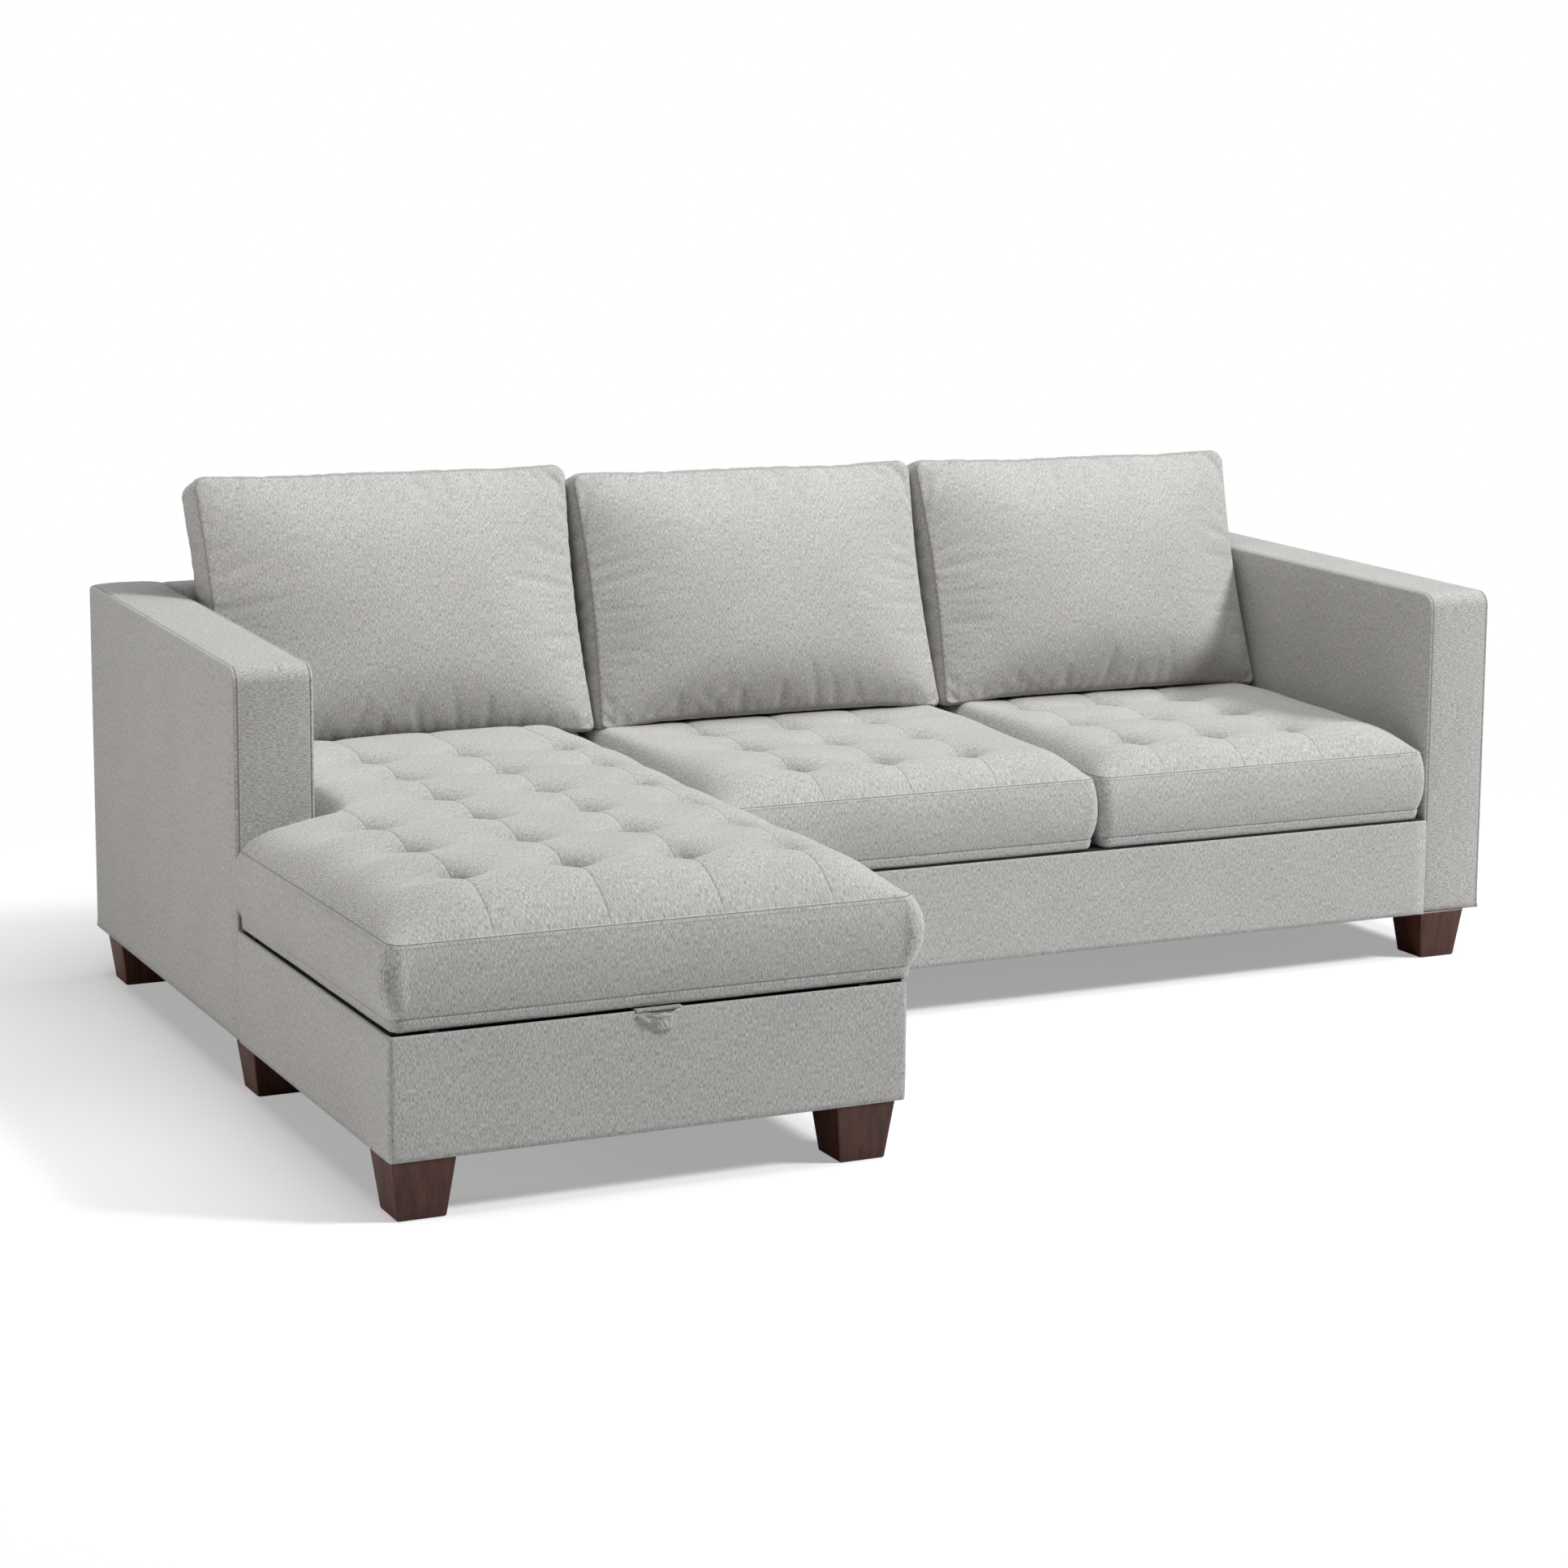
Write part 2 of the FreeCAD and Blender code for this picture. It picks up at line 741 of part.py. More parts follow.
def guide_pin(side):
    """Pin riveted to the guide link, ending just short of the lid bracket."""
    return headed_pin(side, guide_lid_pivot, bracket_high + side_clearance, guide_high)


def strut_direction():
    """Unit vector along a closed gas strut."""
    dy = strut_pin(0)[0] - strut_base[0]
    dz = strut_pin(0)[1] - strut_base[1]
    return Vector(0, dy / strut_closed, dz / strut_closed)


def strut_cylinder(side):
    """Hollow pressure tube with its eye, neck and gland."""
    foot = at(side, strut_plane, strut_base)
    along = strut_direction()
    mouth = strut_neck + strut_body_length
    outside = Part.makeCylinder(strut_radius, strut_body_length, foot + along * strut_neck, along)
    bore = Part.makeCylinder(strut_bore, strut_body_length - gland_length - strut_end_wall,
                             foot + along * (strut_neck + strut_end_wall), along)
    gland = Part.makeCylinder(strut_rod_radius + running_clearance, gland_length + 2,
                              foot + along * (mouth - gland_length - 1), along)
    neck = Part.makeCylinder(strut_rod_radius, strut_neck + 1, foot, along)
    eye = disc(side, strut_base, strut_eye_radius, strut_plane - strut_eye_width / 2,
               strut_plane + strut_eye_width / 2)
    hole = disc(side, strut_base, strut_stud_radius + running_clearance,
                strut_plane - strut_eye_width, strut_plane + strut_eye_width)
    return outside.fuse([neck, eye]).removeSplitter().cut([bore, gland, hole])


def strut_rod(side):
    """Piston rod with its piston and the eye at its outer end."""
    foot = at(side, strut_plane, strut_base)
    along = strut_direction()
    start = strut_neck + strut_end_wall + side_clearance
    piston = Part.makeCylinder(strut_bore - running_clearance, piston_length, foot + along * start, along)
    rod = Part.makeCylinder(strut_rod_radius, strut_closed - start, foot + along * start, along)
    eye = disc(side, strut_pin(0), strut_eye_radius, strut_plane - strut_eye_width / 2,
               strut_plane + strut_eye_width / 2)
    hole = disc(side, strut_pin(0), strut_stud_radius, strut_plane - strut_eye_width,
                strut_plane + strut_eye_width)
    return rod.fuse([piston, eye]).removeSplitter().cut(hole)


def strut_upper_stud(side):
    """Ball stud of the rod eye, ending just short of the main link's ear."""
    shank = disc(side, strut_pin(0), strut_stud_radius, link_high + side_clearance,
                 strut_plane + strut_eye_width / 2 + 1)
    return shank


def strut_lower_stud(side):
    """Stud of the tube eye, riveted to the base plate."""
    shank = disc(side, strut_base, pin_radius, 0, plate_thickness)
    post = disc(side, strut_base, strut_cap_radius, plate_thickness,
                strut_plane - strut_eye_width / 2 - side_clearance)
    journal = disc(side, strut_base, strut_stud_radius, strut_plane - strut_eye_width / 2 - 1,
                   strut_plane + strut_eye_width / 2 + side_clearance)
    cap = disc(side, strut_base, strut_cap_radius, strut_plane + strut_eye_width / 2 + side_clearance,
               strut_plane + strut_eye_width / 2 + side_clearance + pin_head)
    return shank.fuse([post, journal, cap]).removeSplitter()


# Feet

def foot(x, y):
    """Tapered square foot, centred on a place under the sofa."""
    def square(size, z):
        half = size / 2
        corners = [Vector(x - half, y - half, z), Vector(x + half, y - half, z),
                   Vector(x + half, y + half, z), Vector(x - half, y + half, z)]
        return Part.makePolygon(corners + corners[:1])
    return Part.makeLoft([square(foot_bottom, 0), square(foot_top, underside_height)], True, True)


foot_half = foot_top / 2
front_row = arm_front_y + foot_half
back_row = back_y - foot_back_inset - foot_half
left_arm_x = left_x + left_arm_foot_inset + foot_half
chaise_right_foot_x = chaise_right_x - foot_inner_inset - foot_half
seat_left_foot_x = chaise_right_x + foot_half
right_arm_foot_x = arm_in_right + foot_half
junction_foot = (left_arm_x, arm_front_y - junction_foot_overlap + foot_half)
chaise_feet = [
    (left_x + foot_outer_inset + foot_half, chaise_front_y + foot_outer_inset + foot_half),
    (chaise_right_foot_x, chaise_front_y + foot_outer_inset + foot_half),
    junction_foot,
    (chaise_right_foot_x, front_row),
    (left_arm_x, back_row),
    (chaise_right_foot_x, back_row),
]
seat_feet = [(x, y) for x in (seat_left_foot_x, right_arm_foot_x) for y in (front_row, back_row)]

# Build the arms

for name, x0 in (("left", left_x), ("right", arm_in_right)):
    write("arm_%s_cover" % name, arm_cover(x0))
    write("arm_%s_frame" % name, arm_frame(x0))
    write("arm_%s_skins" % name, arm_skins(x0))

# Build the back in two sections that meet at the edge of the chaise

write("back_left_cover", back_cover(arm_in_left, chaise_right_x))
write("back_left_frame", back_frame(arm_in_left, chaise_right_x, 3))
write("back_right_cover", back_cover(chaise_right_x, arm_in_right))
write("back_right_frame", back_frame(chaise_right_x, arm_in_right, 5))

# Build the storage box under the chaise

front_panel = box(panel_left_x, panel_right_x, panel_front_y, panel_front_y + panel_thickness,
                  frame_bottom, rim_height)
store_front_y = panel_front_y + panel_thickness
left_panel = box(panel_left_x, panel_left_x + panel_thickness, store_front_y, wing_rear_y,
                 frame_bottom, rim_height)
return_panel = box(panel_left_x + panel_thickness, wall_left, wing_rear_y - panel_thickness, wing_rear_y,
                   frame_bottom, rim_height)
inner_panel = box(arm_in_left, wall_left, wing_rear_y, back_front_y, frame_bottom, rim_height)
right_panel = box(wall_right, panel_right_x, store_front_y, back_front_y, frame_bottom, rim_height)
rear_panel = box(wall_left, wall_right, store_rear_y, store_rear_y + panel_thickness,
                 frame_bottom, rim_height)
floor_left = panel_left_x + panel_thickness
floor_notch = wing_rear_y - panel_thickness
floor_outline = [(floor_left, store_front_y), (wall_right, store_front_y), (wall_right, store_rear_y),
                 (wall_left, store_rear_y), (wall_left, floor_notch), (floor_left, floor_notch)]
floor_panel = polygon_z(floor_outline, frame_bottom, frame_bottom + floor_thickness)
write("storage_front_panel", front_panel)
write("storage_left_panel", left_panel)
write("storage_return_panel", return_panel)
write("storage_inner_panel", inner_panel)
write("storage_right_panel", right_panel)
write("storage_rear_panel", rear_panel)
write("storage_floor", floor_panel)

# Upholstery round the outside of the storage box
cover_outline = [(left_x, wing_rear_y), (left_x, chaise_front_y), (chaise_right_x, chaise_front_y),
                 (chaise_right_x, rail_front_y), (panel_right_x, rail_front_y),
                 (panel_right_x, panel_front_y), (panel_left_x, panel_front_y),
                 (panel_left_x, wing_rear_y)]
storage_cover = polygon_z(cover_outline, underside_height, rim_height)


def is_outer_corner(edge):
    """Upright front corners and the upper rim of the upholstery."""
    middle = edge.CenterOfMass
    outside = (abs(middle.x - left_x) < 1 or abs(middle.x - chaise_right_x) < 1
               or abs(middle.y - chaise_front_y) < 1)
    upright = runs_along(edge, 2) and abs(middle.y - chaise_front_y) < 1
    rim = abs(middle.z - rim_height) < 1
    return outside and (upright or rim)


write("storage_cover", fillet_edges(storage_cover, edge_softness, is_outer_corner))

# Fixed padded ledge behind the lid, which carries the chaise's back cushion
ledge_front_y = lid_rear_y + ledge_gap
ledge_left = arm_in_left + arm_gap
ledge_right = lid_right + side_bulge
ledge_board = box(ledge_left, panel_right_x, ledge_front_y, back_front_y,
                  rim_height, rim_height + ledge_board_thickness)
write("ledge_board", ledge_board)
ledge_pad = box(ledge_left, ledge_right, ledge_front_y, back_front_y - seat_back_gap,
                rim_height + ledge_board_thickness, ledge_top)


def is_ledge_edge(edge):
    """Upper edges of the ledge."""
    return abs(edge.CenterOfMass.z - ledge_top) < 1


write("ledge_pad", fillet_edges(ledge_pad, edge_softness * 3, is_ledge_edge))

# Build the two-seat frame

side_low = chaise_right_x + base_padding + side_rail_gap
rail_front = arm_front_y
rails = {
    "seat_front_rail": box(side_low, arm_in_right, rail_front, rail_front + rail_thickness,
                           frame_bottom, rail_top),
    "seat_rear_rail": box(side_low, arm_in_right, back_front_y - rail_thickness, back_front_y,
                          frame_bottom, rail_top),
}
cross_front = rail_front + rail_thickness
cross_rear = back_front_y - rail_thickness
cross_rails = [box(x, x + rail_thickness, cross_front, cross_rear, frame_bottom, rail_top)
               for x in (side_low, seat_split_x - rail_thickness / 2, arm_in_right - rail_thickness)]
for name, rail in rails.items():
    write(name, rail)
write("seat_cross_rails", cross_rails)

first_band = side_low + frame_stock
band_count = int((arm_in_right - first_band - band_width) // band_pitch) + 1
webbing = [box(first_band + band_pitch * index, first_band + band_pitch * index + band_width,
               rail_front, back_front_y, rail_top, rail_top + webbing_thickness)
           for index in range(band_count)]
write("seat_webbing", webbing)
write("seat_deck_cloth", box(side_low, arm_in_right, rail_front, back_front_y,
                             rail_top + webbing_thickness, deck_top))

rail_cover = box(chaise_right_x, arm_in_right, rail_front_y, arm_front_y, underside_height, rim_height)


def is_rail_cover_edge(edge):
    """Front edges of the rail upholstery at its top and right end."""
    middle = edge.CenterOfMass
    in_front = abs(middle.y - rail_front_y) < 1
    return in_front and (abs(middle.z - rim_height) < 1 or abs(middle.x - arm_in_right) < 1)


write("front_rail_cover", fillet_edges(rail_cover, edge_softness, is_rail_cover_edge))

# Corner blocks glued into the seat frame
block_left = side_low + rail_thickness
block_right = arm_in_right - rail_thickness


def corner_block(x, y, way_x, way_y):
    """Triangular block in one corner of the frame, under the seat."""
    outline = [(x, y), (x + way_x * corner_block_size, y), (x, y + way_y * corner_block_size)]
    return polygon_z(outline, frame_bottom, frame_bottom + corner_block_height)


blocks = [corner_block(x, y, way_x, way_y) for x, way_x in ((block_left, 1), (block_right, -1))
          for y, way_y in ((cross_front, 1), (cross_rear, -1))]
write("seat_corner_blocks", blocks)

# Dust covers close the underside between the feet's tops and the frames
write("dust_cover_seat", box(side_low, arm_in_right, arm_front_y, back_front_y,
                             underside_height, frame_bottom))
dust_outline = [(panel_left_x, panel_front_y), (panel_right_x, panel_front_y),
                (panel_right_x, back_front_y), (arm_in_left, back_front_y),
                (arm_in_left, wing_rear_y), (panel_left_x, wing_rear_y)]
write("dust_cover_chaise", polygon_z(dust_outline, underside_height, frame_bottom))

# Tongue-and-slot connectors between the chaise and the two-seat side
connector_places = (arm_front_y + connector_setback, back_front_y - connector_setback)


def connector_plate(x0, y):
    """Square steel plate on the side of one section."""
    half = connector_size / 2
    return box(x0, x0 + connector_thickness, y - half, y + half,
               connector_height - half, connector_height + half)


def connector_tongue(y):
    """Plate on the two-seat side, with a tongue that reaches through the chaise's plate."""
    x0 = side_low - connector_thickness
    tongue = box(panel_right_x + side_rail_gap, x0, y - tongue_half_width, y + tongue_half_width,
                 connector_height - tongue_half_height, connector_height + tongue_half_height)
    return connector_plate(x0, y).fuse(tongue).removeSplitter()


def connector_socket(y):
    """Plate on the chaise, with the slot for the tongue."""
    room = connector_clearance
    slot = box(panel_right_x - side_rail_gap, side_low,
               y - tongue_half_width - room, y + tongue_half_width + room,
               connector_height - tongue_half_height - room,
               connector_height + tongue_half_height + room)
    return connector_plate(panel_right_x, y).cut(slot)


write("connector_sockets", [connector_socket(y) for y in connector_places])
write("connector_tongues", [connector_tongue(y) for y in connector_places])

# Build the seat cushions

middle_left = lid_right + side_bulge + soft_gap + side_bulge
middle_right = seat_split_x - soft_gap / 2 - side_bulge
last_left = seat_split_x + soft_gap / 2 + side_bulge
last_right = arm_in_right - arm_gap - side_bulge
write("seat_cushion_middle", seat_cushion(middle_left, middle_right, 0))
write("seat_cushion_right", seat_cushion(last_left, last_right, right_seat_tuft_shift))

# Build the loose back cushions, evenly spaced between the arms

for index, name in enumerate(("left", "middle", "right")):
    centre = arm_in_left + cushion_gap + cushion_width / 2 + index * (cushion_width + cushion_gap)
    write("back_cushion_" + name, back_cushion(centre))

# Build the lid and its lift hinges

sides = (1, -1)
write("lid_board", lid_board())
write("lid_cushion", lid_cushion())
write("lid_lining", box(wall_left + lining_inset, wall_right - lining_inset,
                        store_front_y + lining_inset, store_rear_y - lining_inset,
                        lid_bottom - lining_thickness, lid_bottom))

write("hinge_base_plates", [hinge_plate(side) for side in sides])
write("hinge_base_pins", [headed_pin(side, base_pivot, 0, link_high + side_clearance)
                          for side in sides])
write("guide_base_pins", [headed_pin(side, guide_base_pivot, 0, guide_high + side_clearance)
                          for side in sides])
write("main_links", [main_link(side) for side in sides])
write("lid_pivot_pins", [headed_pin(side, lid_pivot, link_low, bracket_high + side_clearance)
                         for side in sides])
write("guide_links", [guide_link(side) for side in sides])
write("guide_pins", [guide_pin(side) for side in sides])
write("lid_brackets", [lid_bracket(side) for side in sides])
write("strut_cylinders", [strut_cylinder(side) for side in sides])
write("strut_rods", [strut_rod(side) for side in sides])
write("strut_upper_studs", [strut_upper_stud(side) for side in sides])
write("strut_lower_studs", [strut_lower_stud(side) for side in sides])

# Rubber bumpers on the rim, under the lid
rim_middle = panel_thickness / 2
bumper_places = [
    (panel_left_x + bumper_setback, panel_front_y + rim_middle),
    (panel_right_x - bumper_setback, panel_front_y + rim_middle),
    (panel_left_x + rim_middle, wing_rear_y - bumper_setback),
    (panel_right_x - rim_middle, wing_rear_y),
    (arm_in_left + rim_middle + side_clearance, lid_rear_y - bumper_setback),
    (panel_right_x - rim_middle, lid_rear_y - bumper_setback),
]
bumper_top = lid_bottom - cushion_rest_gap
write("lid_bumpers", [box(x - bumper_size / 2, x + bumper_size / 2, y - bumper_size / 2,
                          y + bumper_size / 2, rim_height, bumper_top) for x, y in bumper_places])

# Pull tab under the front edge of the lid
tab_middle = (left_x + chaise_right_x) / 2 + tab_shift
tab_pivot = (chaise_front_y - tab_standoff - tab_thickness / 2,
             lid_bottom - tab_anchor_thickness / 2 - tab_thickness / 4)
tab_rear = tab_pivot[0] + tab_thickness / 2
tab_front = tab_pivot[0] - tab_thickness / 2
tab_top = tab_pivot[1]


def tab_outline(y):
    """Trapezoid of the folded strip, at one depth."""
    points = [Vector(tab_middle - tab_top_width / 2, y, tab_top),
              Vector(tab_middle + tab_top_width / 2, y, tab_top),
              Vector(tab_middle + tab_bottom_width / 2, y, tab_top - tab_drop),
              Vector(tab_middle - tab_bottom_width / 2, y, tab_top - tab_drop)]
    return Part.makePolygon(points + points[:1])


tab_lean = tab_projection - tab_standoff - tab_thickness
tab_back = tab_outline(tab_rear)
tab_face_points = [Vector(p.Point.x, tab_front if p.Point.z > tab_top - 1 else tab_front - tab_lean,
                          p.Point.z) for p in tab_back.OrderedVertexes]
tab_face = Part.makePolygon(tab_face_points + tab_face_points[:1])
write("pull_tab", Part.makeLoft([tab_back, tab_face], True, True))
write("pull_tab_anchor", box(tab_middle - tab_top_width / 2, tab_middle + tab_top_width / 2,
                             chaise_front_y - tab_standoff + side_clearance,
                             chaise_front_y + tab_anchor_depth,
                             lid_bottom - tab_anchor_thickness, lid_bottom))

# Build the feet

write("chaise_feet", [foot(x, y) for x, y in chaise_feet])
write("seat_feet", [foot(x, y) for x, y in seat_feet])

print("origin to back plane", round(back_y, 3))
print("storage inside x", wall_left, wall_right, "y", store_front_y, store_rear_y)
print("base pivot", [round(v, 3) for v in base_pivot], "lid pivot", [round(v, 3) for v in lid_pivot])
print("guide base pivot", [round(v, 3) for v in guide_base_pivot],
      "guide ratio", round(guide_turn / full_swing, 6))
print("strut base", [round(v, 3) for v in strut_base], "turn ratio", round(strut_turn / full_swing, 6),
      "closed", round(strut_closed, 3), "stroke", round(strut_open - strut_closed, 3),
      "m per radian", round((strut_open - strut_closed) / full_swing / 1000, 6))
print("strut direction", strut_direction())
print("tab pivot", [round(v, 3) for v in tab_pivot], "tab middle", tab_middle)
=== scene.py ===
import json
import math

import bmesh
import bpy
import numpy as np
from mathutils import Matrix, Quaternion, Vector
from mathutils.kdtree import KDTree


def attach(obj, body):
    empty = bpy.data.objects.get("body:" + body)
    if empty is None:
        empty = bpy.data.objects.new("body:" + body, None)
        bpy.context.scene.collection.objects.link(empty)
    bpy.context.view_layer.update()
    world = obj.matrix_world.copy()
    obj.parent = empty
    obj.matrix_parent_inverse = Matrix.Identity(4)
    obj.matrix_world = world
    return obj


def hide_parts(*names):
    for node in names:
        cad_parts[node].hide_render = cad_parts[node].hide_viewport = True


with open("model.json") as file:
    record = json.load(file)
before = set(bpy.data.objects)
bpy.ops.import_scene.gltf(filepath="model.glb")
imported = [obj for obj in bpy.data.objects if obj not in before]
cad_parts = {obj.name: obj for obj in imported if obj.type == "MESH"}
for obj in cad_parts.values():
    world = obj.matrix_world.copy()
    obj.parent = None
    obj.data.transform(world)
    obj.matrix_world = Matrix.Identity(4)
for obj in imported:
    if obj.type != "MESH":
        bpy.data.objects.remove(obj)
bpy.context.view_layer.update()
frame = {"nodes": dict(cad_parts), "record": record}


# Lines and grids of points

def smoothStep(value):
    # 3t² - 2t³, held between 0 and 1
    t = np.clip(value, 0.0, 1.0)
    return t * t * (3.0 - 2.0 * t)


def bell(distance, width, power=2):
    # exp(-(distance/width)^power): 1 at the middle, falling away on both sides
    return np.exp(-(distance / width) ** power)


def ripple(a, b, size, seed):
    # gentle unevenness between -1 and 1: six crossed waves with fixed directions and phases
    total = np.zeros(np.broadcast(a, b).shape)
    for wave in range(6):
        turn = seed * 1.7 + wave * 2.399
        pitch = size * (0.7 + 0.22 * wave)
        along = a * math.cos(turn) + b * math.sin(turn)
        total = total + np.sin(along * 2 * math.pi / pitch + seed * 3.1 + wave * 1.9)
    return total / 3.2


def pairs(a, b):
    # two arrays spread over each other, as one grid of (a, b)
    return np.stack(np.broadcast_arrays(a, b), axis=-1)


def addAxis(flat, third):
    # gives points in a plane their third coordinate
    return np.concatenate([flat, np.broadcast_to(third, flat.shape[:-1])[..., None]], axis=-1)


def unit(vectors):
    # each vector divided by its length
    return vectors / np.linalg.norm(vectors, axis=-1, keepdims=True)


def rightOf(along):
    # unit normals to the right of each direction in a plane
    return unit(pairs(along[:, 1], -along[:, 0]))


def outwardNormals(loop):
    # unit normals of a closed loop that runs anticlockwise, from the points before and after
    return rightOf(np.roll(loop, -1, axis=0) - np.roll(loop, 1, axis=0))


def runLength(loop):
    # distance along a line of points, starting at 0
    steps = np.linalg.norm(np.diff(loop, axis=0), axis=1)
    return np.concatenate([[0.0], np.cumsum(steps)])


def readAt(places, run, line):
    # the points of a line at given distances along its run
    return np.stack([np.interp(places, run, values) for values in line.T], axis=-1)


def closeRing(values, axis=0):
    # repeats the first point at the end, so a wall closes on itself
    return np.concatenate([values, np.take(values, [0], axis=axis)], axis=axis)


def linesWithDetail(start, end, places, fine, coarse, reach, fixed=()):
    # grid lines spaced `coarse` apart that draw together to `fine` near each place:
    # the wanted density is summed along the length and read back at even steps. Fixed places get their own line
    t = np.linspace(start, end, 4000)
    density = np.full(t.shape, 1.0 / coarse)
    for place in places:
        density = density + (1.0 / fine - 1.0 / coarse) * bell(t - place, reach, 4)
    density = np.minimum(density, 1.0 / fine)
    run = np.concatenate([[0.0], np.cumsum((density[1:] + density[:-1]) / 2 * np.diff(t))])
    lines = np.interp(np.linspace(0.0, run[-1], int(run[-1]) + 2), run, t)
    if len(fixed):
        gap = np.abs(lines[:, None] - np.array(fixed)[None, :]).min(axis=1)
        lines = np.sort(np.concatenate([lines[gap > fine * 0.45], fixed]))
    return lines


def loopThrough(corners):
    # rows and columns of the grid points along straight legs from corner to corner and back, each point once
    rows, columns = [], []
    for (row, column), (nextRow, nextColumn) in zip(corners, corners[1:] + corners[:1]):
        steps = np.arange(max(abs(nextRow - row), abs(nextColumn - column)))
        rows.append(row + steps * np.sign(nextRow - row))
        columns.append(column + steps * np.sign(nextColumn - column))
    return np.concatenate(rows), np.concatenate(columns)


def gridEdge(grid):
    # the loop round all of a grid
    row, column = grid.shape[0] - 1, grid.shape[1] - 1
    return loopThrough([(0, 0), (0, column), (row, column), (row, 0)])


def roundCorners(x, y, corners):
    # presses the square in each corner of a grid onto a quarter disc: p·sqrt(1 - q²/2), q·sqrt(1 - p²/2)
    for cornerX, cornerY, wayX, wayY, radius in corners:
        a, b = (x - cornerX) * wayX, (y - cornerY) * wayY
        inside = (a < radius) & (b < radius) & (a > -1e-9) & (b > -1e-9)
        p, q = np.clip((radius - a) / radius, 0.0, 1.0), np.clip((radius - b) / radius, 0.0, 1.0)
        a = radius - radius * p * np.sqrt(1 - q * q / 2)
        b = radius - radius * q * np.sqrt(1 - p * p / 2)
        x, y = np.where(inside, cornerX + a * wayX, x), np.where(inside, cornerY + b * wayY, y)
    return x, y


# Meshes and objects

def addObject(name, data):
    # puts a mesh, a lamp or a camera into the scene
    holder = bpy.data.objects.new(name, data)
    bpy.context.scene.collection.objects.link(holder)
    return holder


def meshPoints(mesh):
    # all points of a mesh as rows of x, y, z
    points = np.empty(len(mesh.vertices) * 3, np.float32)
    mesh.vertices.foreach_get("co", points)
    return points.reshape(-1, 3).astype(float)


def setPoints(piece, points):
    # writes rows of x, y, z back into a mesh
    piece.data.vertices.foreach_set("co", points.astype(np.float32).ravel())
    piece.data.update()


def buildMesh(name, patches, lids=()):
    # joins grids of points into one mesh, welds the edges they share and turns the faces outwards.
    # seamShade keeps the painted shade at each point, 0 to 1, darkest in sewn lines, tuft pockets and folds
    points, uvs, faces, shades, first = [], [], [], [], 0
    for patch in patches:
        rows, columns = patch["points"].shape[:2]
        index = np.arange(rows * columns).reshape(rows, columns) + first
        quads = np.stack([index[:-1, :-1], index[:-1, 1:], index[1:, 1:], index[1:, :-1]], axis=-1)
        keep = patch.get("keep")
        faces.append(quads.reshape(-1, 4) if keep is None else quads[keep])
        points.append(patch["points"].reshape(-1, 3))
        uvs.append(patch["uv"].reshape(-1, 2))
        shades.append(np.broadcast_to(patch.get("shade", 0.0), (rows, columns)).ravel())
        first += rows * columns
    loops = np.concatenate(faces)
    faceList = loops.tolist()
    uvLoops = [np.concatenate(uvs)[loops.ravel()]]
    for ring in lids:
        points.append(ring)
        shades.append(np.zeros(len(ring)))
        faceList.append(list(range(first, first + len(ring))))
        uvLoops.append(ring[:, :2])
        first += len(ring)
    mesh = bpy.data.meshes.new(name)
    mesh.from_pydata(np.concatenate(points).tolist(), [], faceList)
    layer = mesh.uv_layers.new(name="clothUv")
    layer.uv.foreach_set("vector", np.concatenate(uvLoops).astype(np.float32).ravel())
    shade = mesh.attributes.new("seamShade", "FLOAT", "POINT")
    shade.data.foreach_set("value", np.concatenate(shades).astype(np.float32))
    shell = bmesh.new()
    shell.from_mesh(mesh)
    bmesh.ops.remove_doubles(shell, verts=shell.verts, dist=0.00002)
    bmesh.ops.recalc_face_normals(shell, faces=shell.faces)
    shell.to_mesh(mesh)
    shell.free()
    mesh.shade_smooth()
    return addObject(name, mesh)


def dress(piece, body, material, nodes=()):
    # gives a piece its material, its body, and the CAD nodes it stands for
    piece.data.materials.clear()
    piece.data.materials.append(material)
    if nodes:
        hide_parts(*nodes)
    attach(piece, body)
    return piece


def upholster(piece, body, nodes):
    return dress(piece, body, cloth, nodes)


# Materials

def setInputs(tree, node, inputs):
    # each value is a plain number or colour, or a socket to link from
    for key, value in inputs.items():
        if isinstance(value, bpy.types.NodeSocket):
            tree.links.new(value, node.inputs[key])
        else:
            node.inputs[key].default_value = value


def addNode(tree, kind, inputs=None, **values):
    # a new node with its options set and its inputs filled or linked
    node = tree.nodes.new(kind)
    for key, value in values.items():
        setattr(node, key, value)
    setInputs(tree, node, inputs or {})
    return node


def newMaterial(name):
    # a material, its node tree and its main shader
    material = bpy.data.materials.new(name)
    material.use_nodes = True
    return material, material.node_tree, material.node_tree.nodes["Principled BSDF"]


def objectPlace(tree):
    # the object's own coordinates
    return addNode(tree, "ShaderNodeTexCoord").outputs["Object"]


def stretchedNoise(tree, source, scale, detail, roughness):
    # noise on coordinates that a Mapping node stretches along the threads
    mapped = addNode(tree, "ShaderNodeMapping", {"Vector": source, "Scale": scale}).outputs["Vector"]
    return addNode(tree, "ShaderNodeTexNoise", {"Vector": mapped, "Scale": 1.0, "Detail": detail,
                                                "Roughness": roughness}).outputs["Fac"]


def mixed(tree, kind, factor, a, b):
    # mixes two colours, each a socket or a plain colour
    return addNode(tree, "ShaderNodeMix", {0: factor, 6: a, 7: b}, data_type="RGBA", blend_type=kind).outputs[2]


def ramp(tree, source, stops):
    # turns a grey value into a colour between stops of (place, colour)
    node = addNode(tree, "ShaderNodeValToRGB", {"Fac": source})
    while len(node.color_ramp.elements) < len(stops):
        node.color_ramp.elements.new(0.5)
    for element, (place, colour) in zip(node.color_ramp.elements, stops):
        element.position = place
        element.color = colour
    return node.outputs["Color"]


def bumped(tree, height, strength, distance):
    # the surface tilted by a grey pattern
    return addNode(tree, "ShaderNodeBump", {"Height": height, "Strength": strength,
                                            "Distance": distance}).outputs["Normal"]


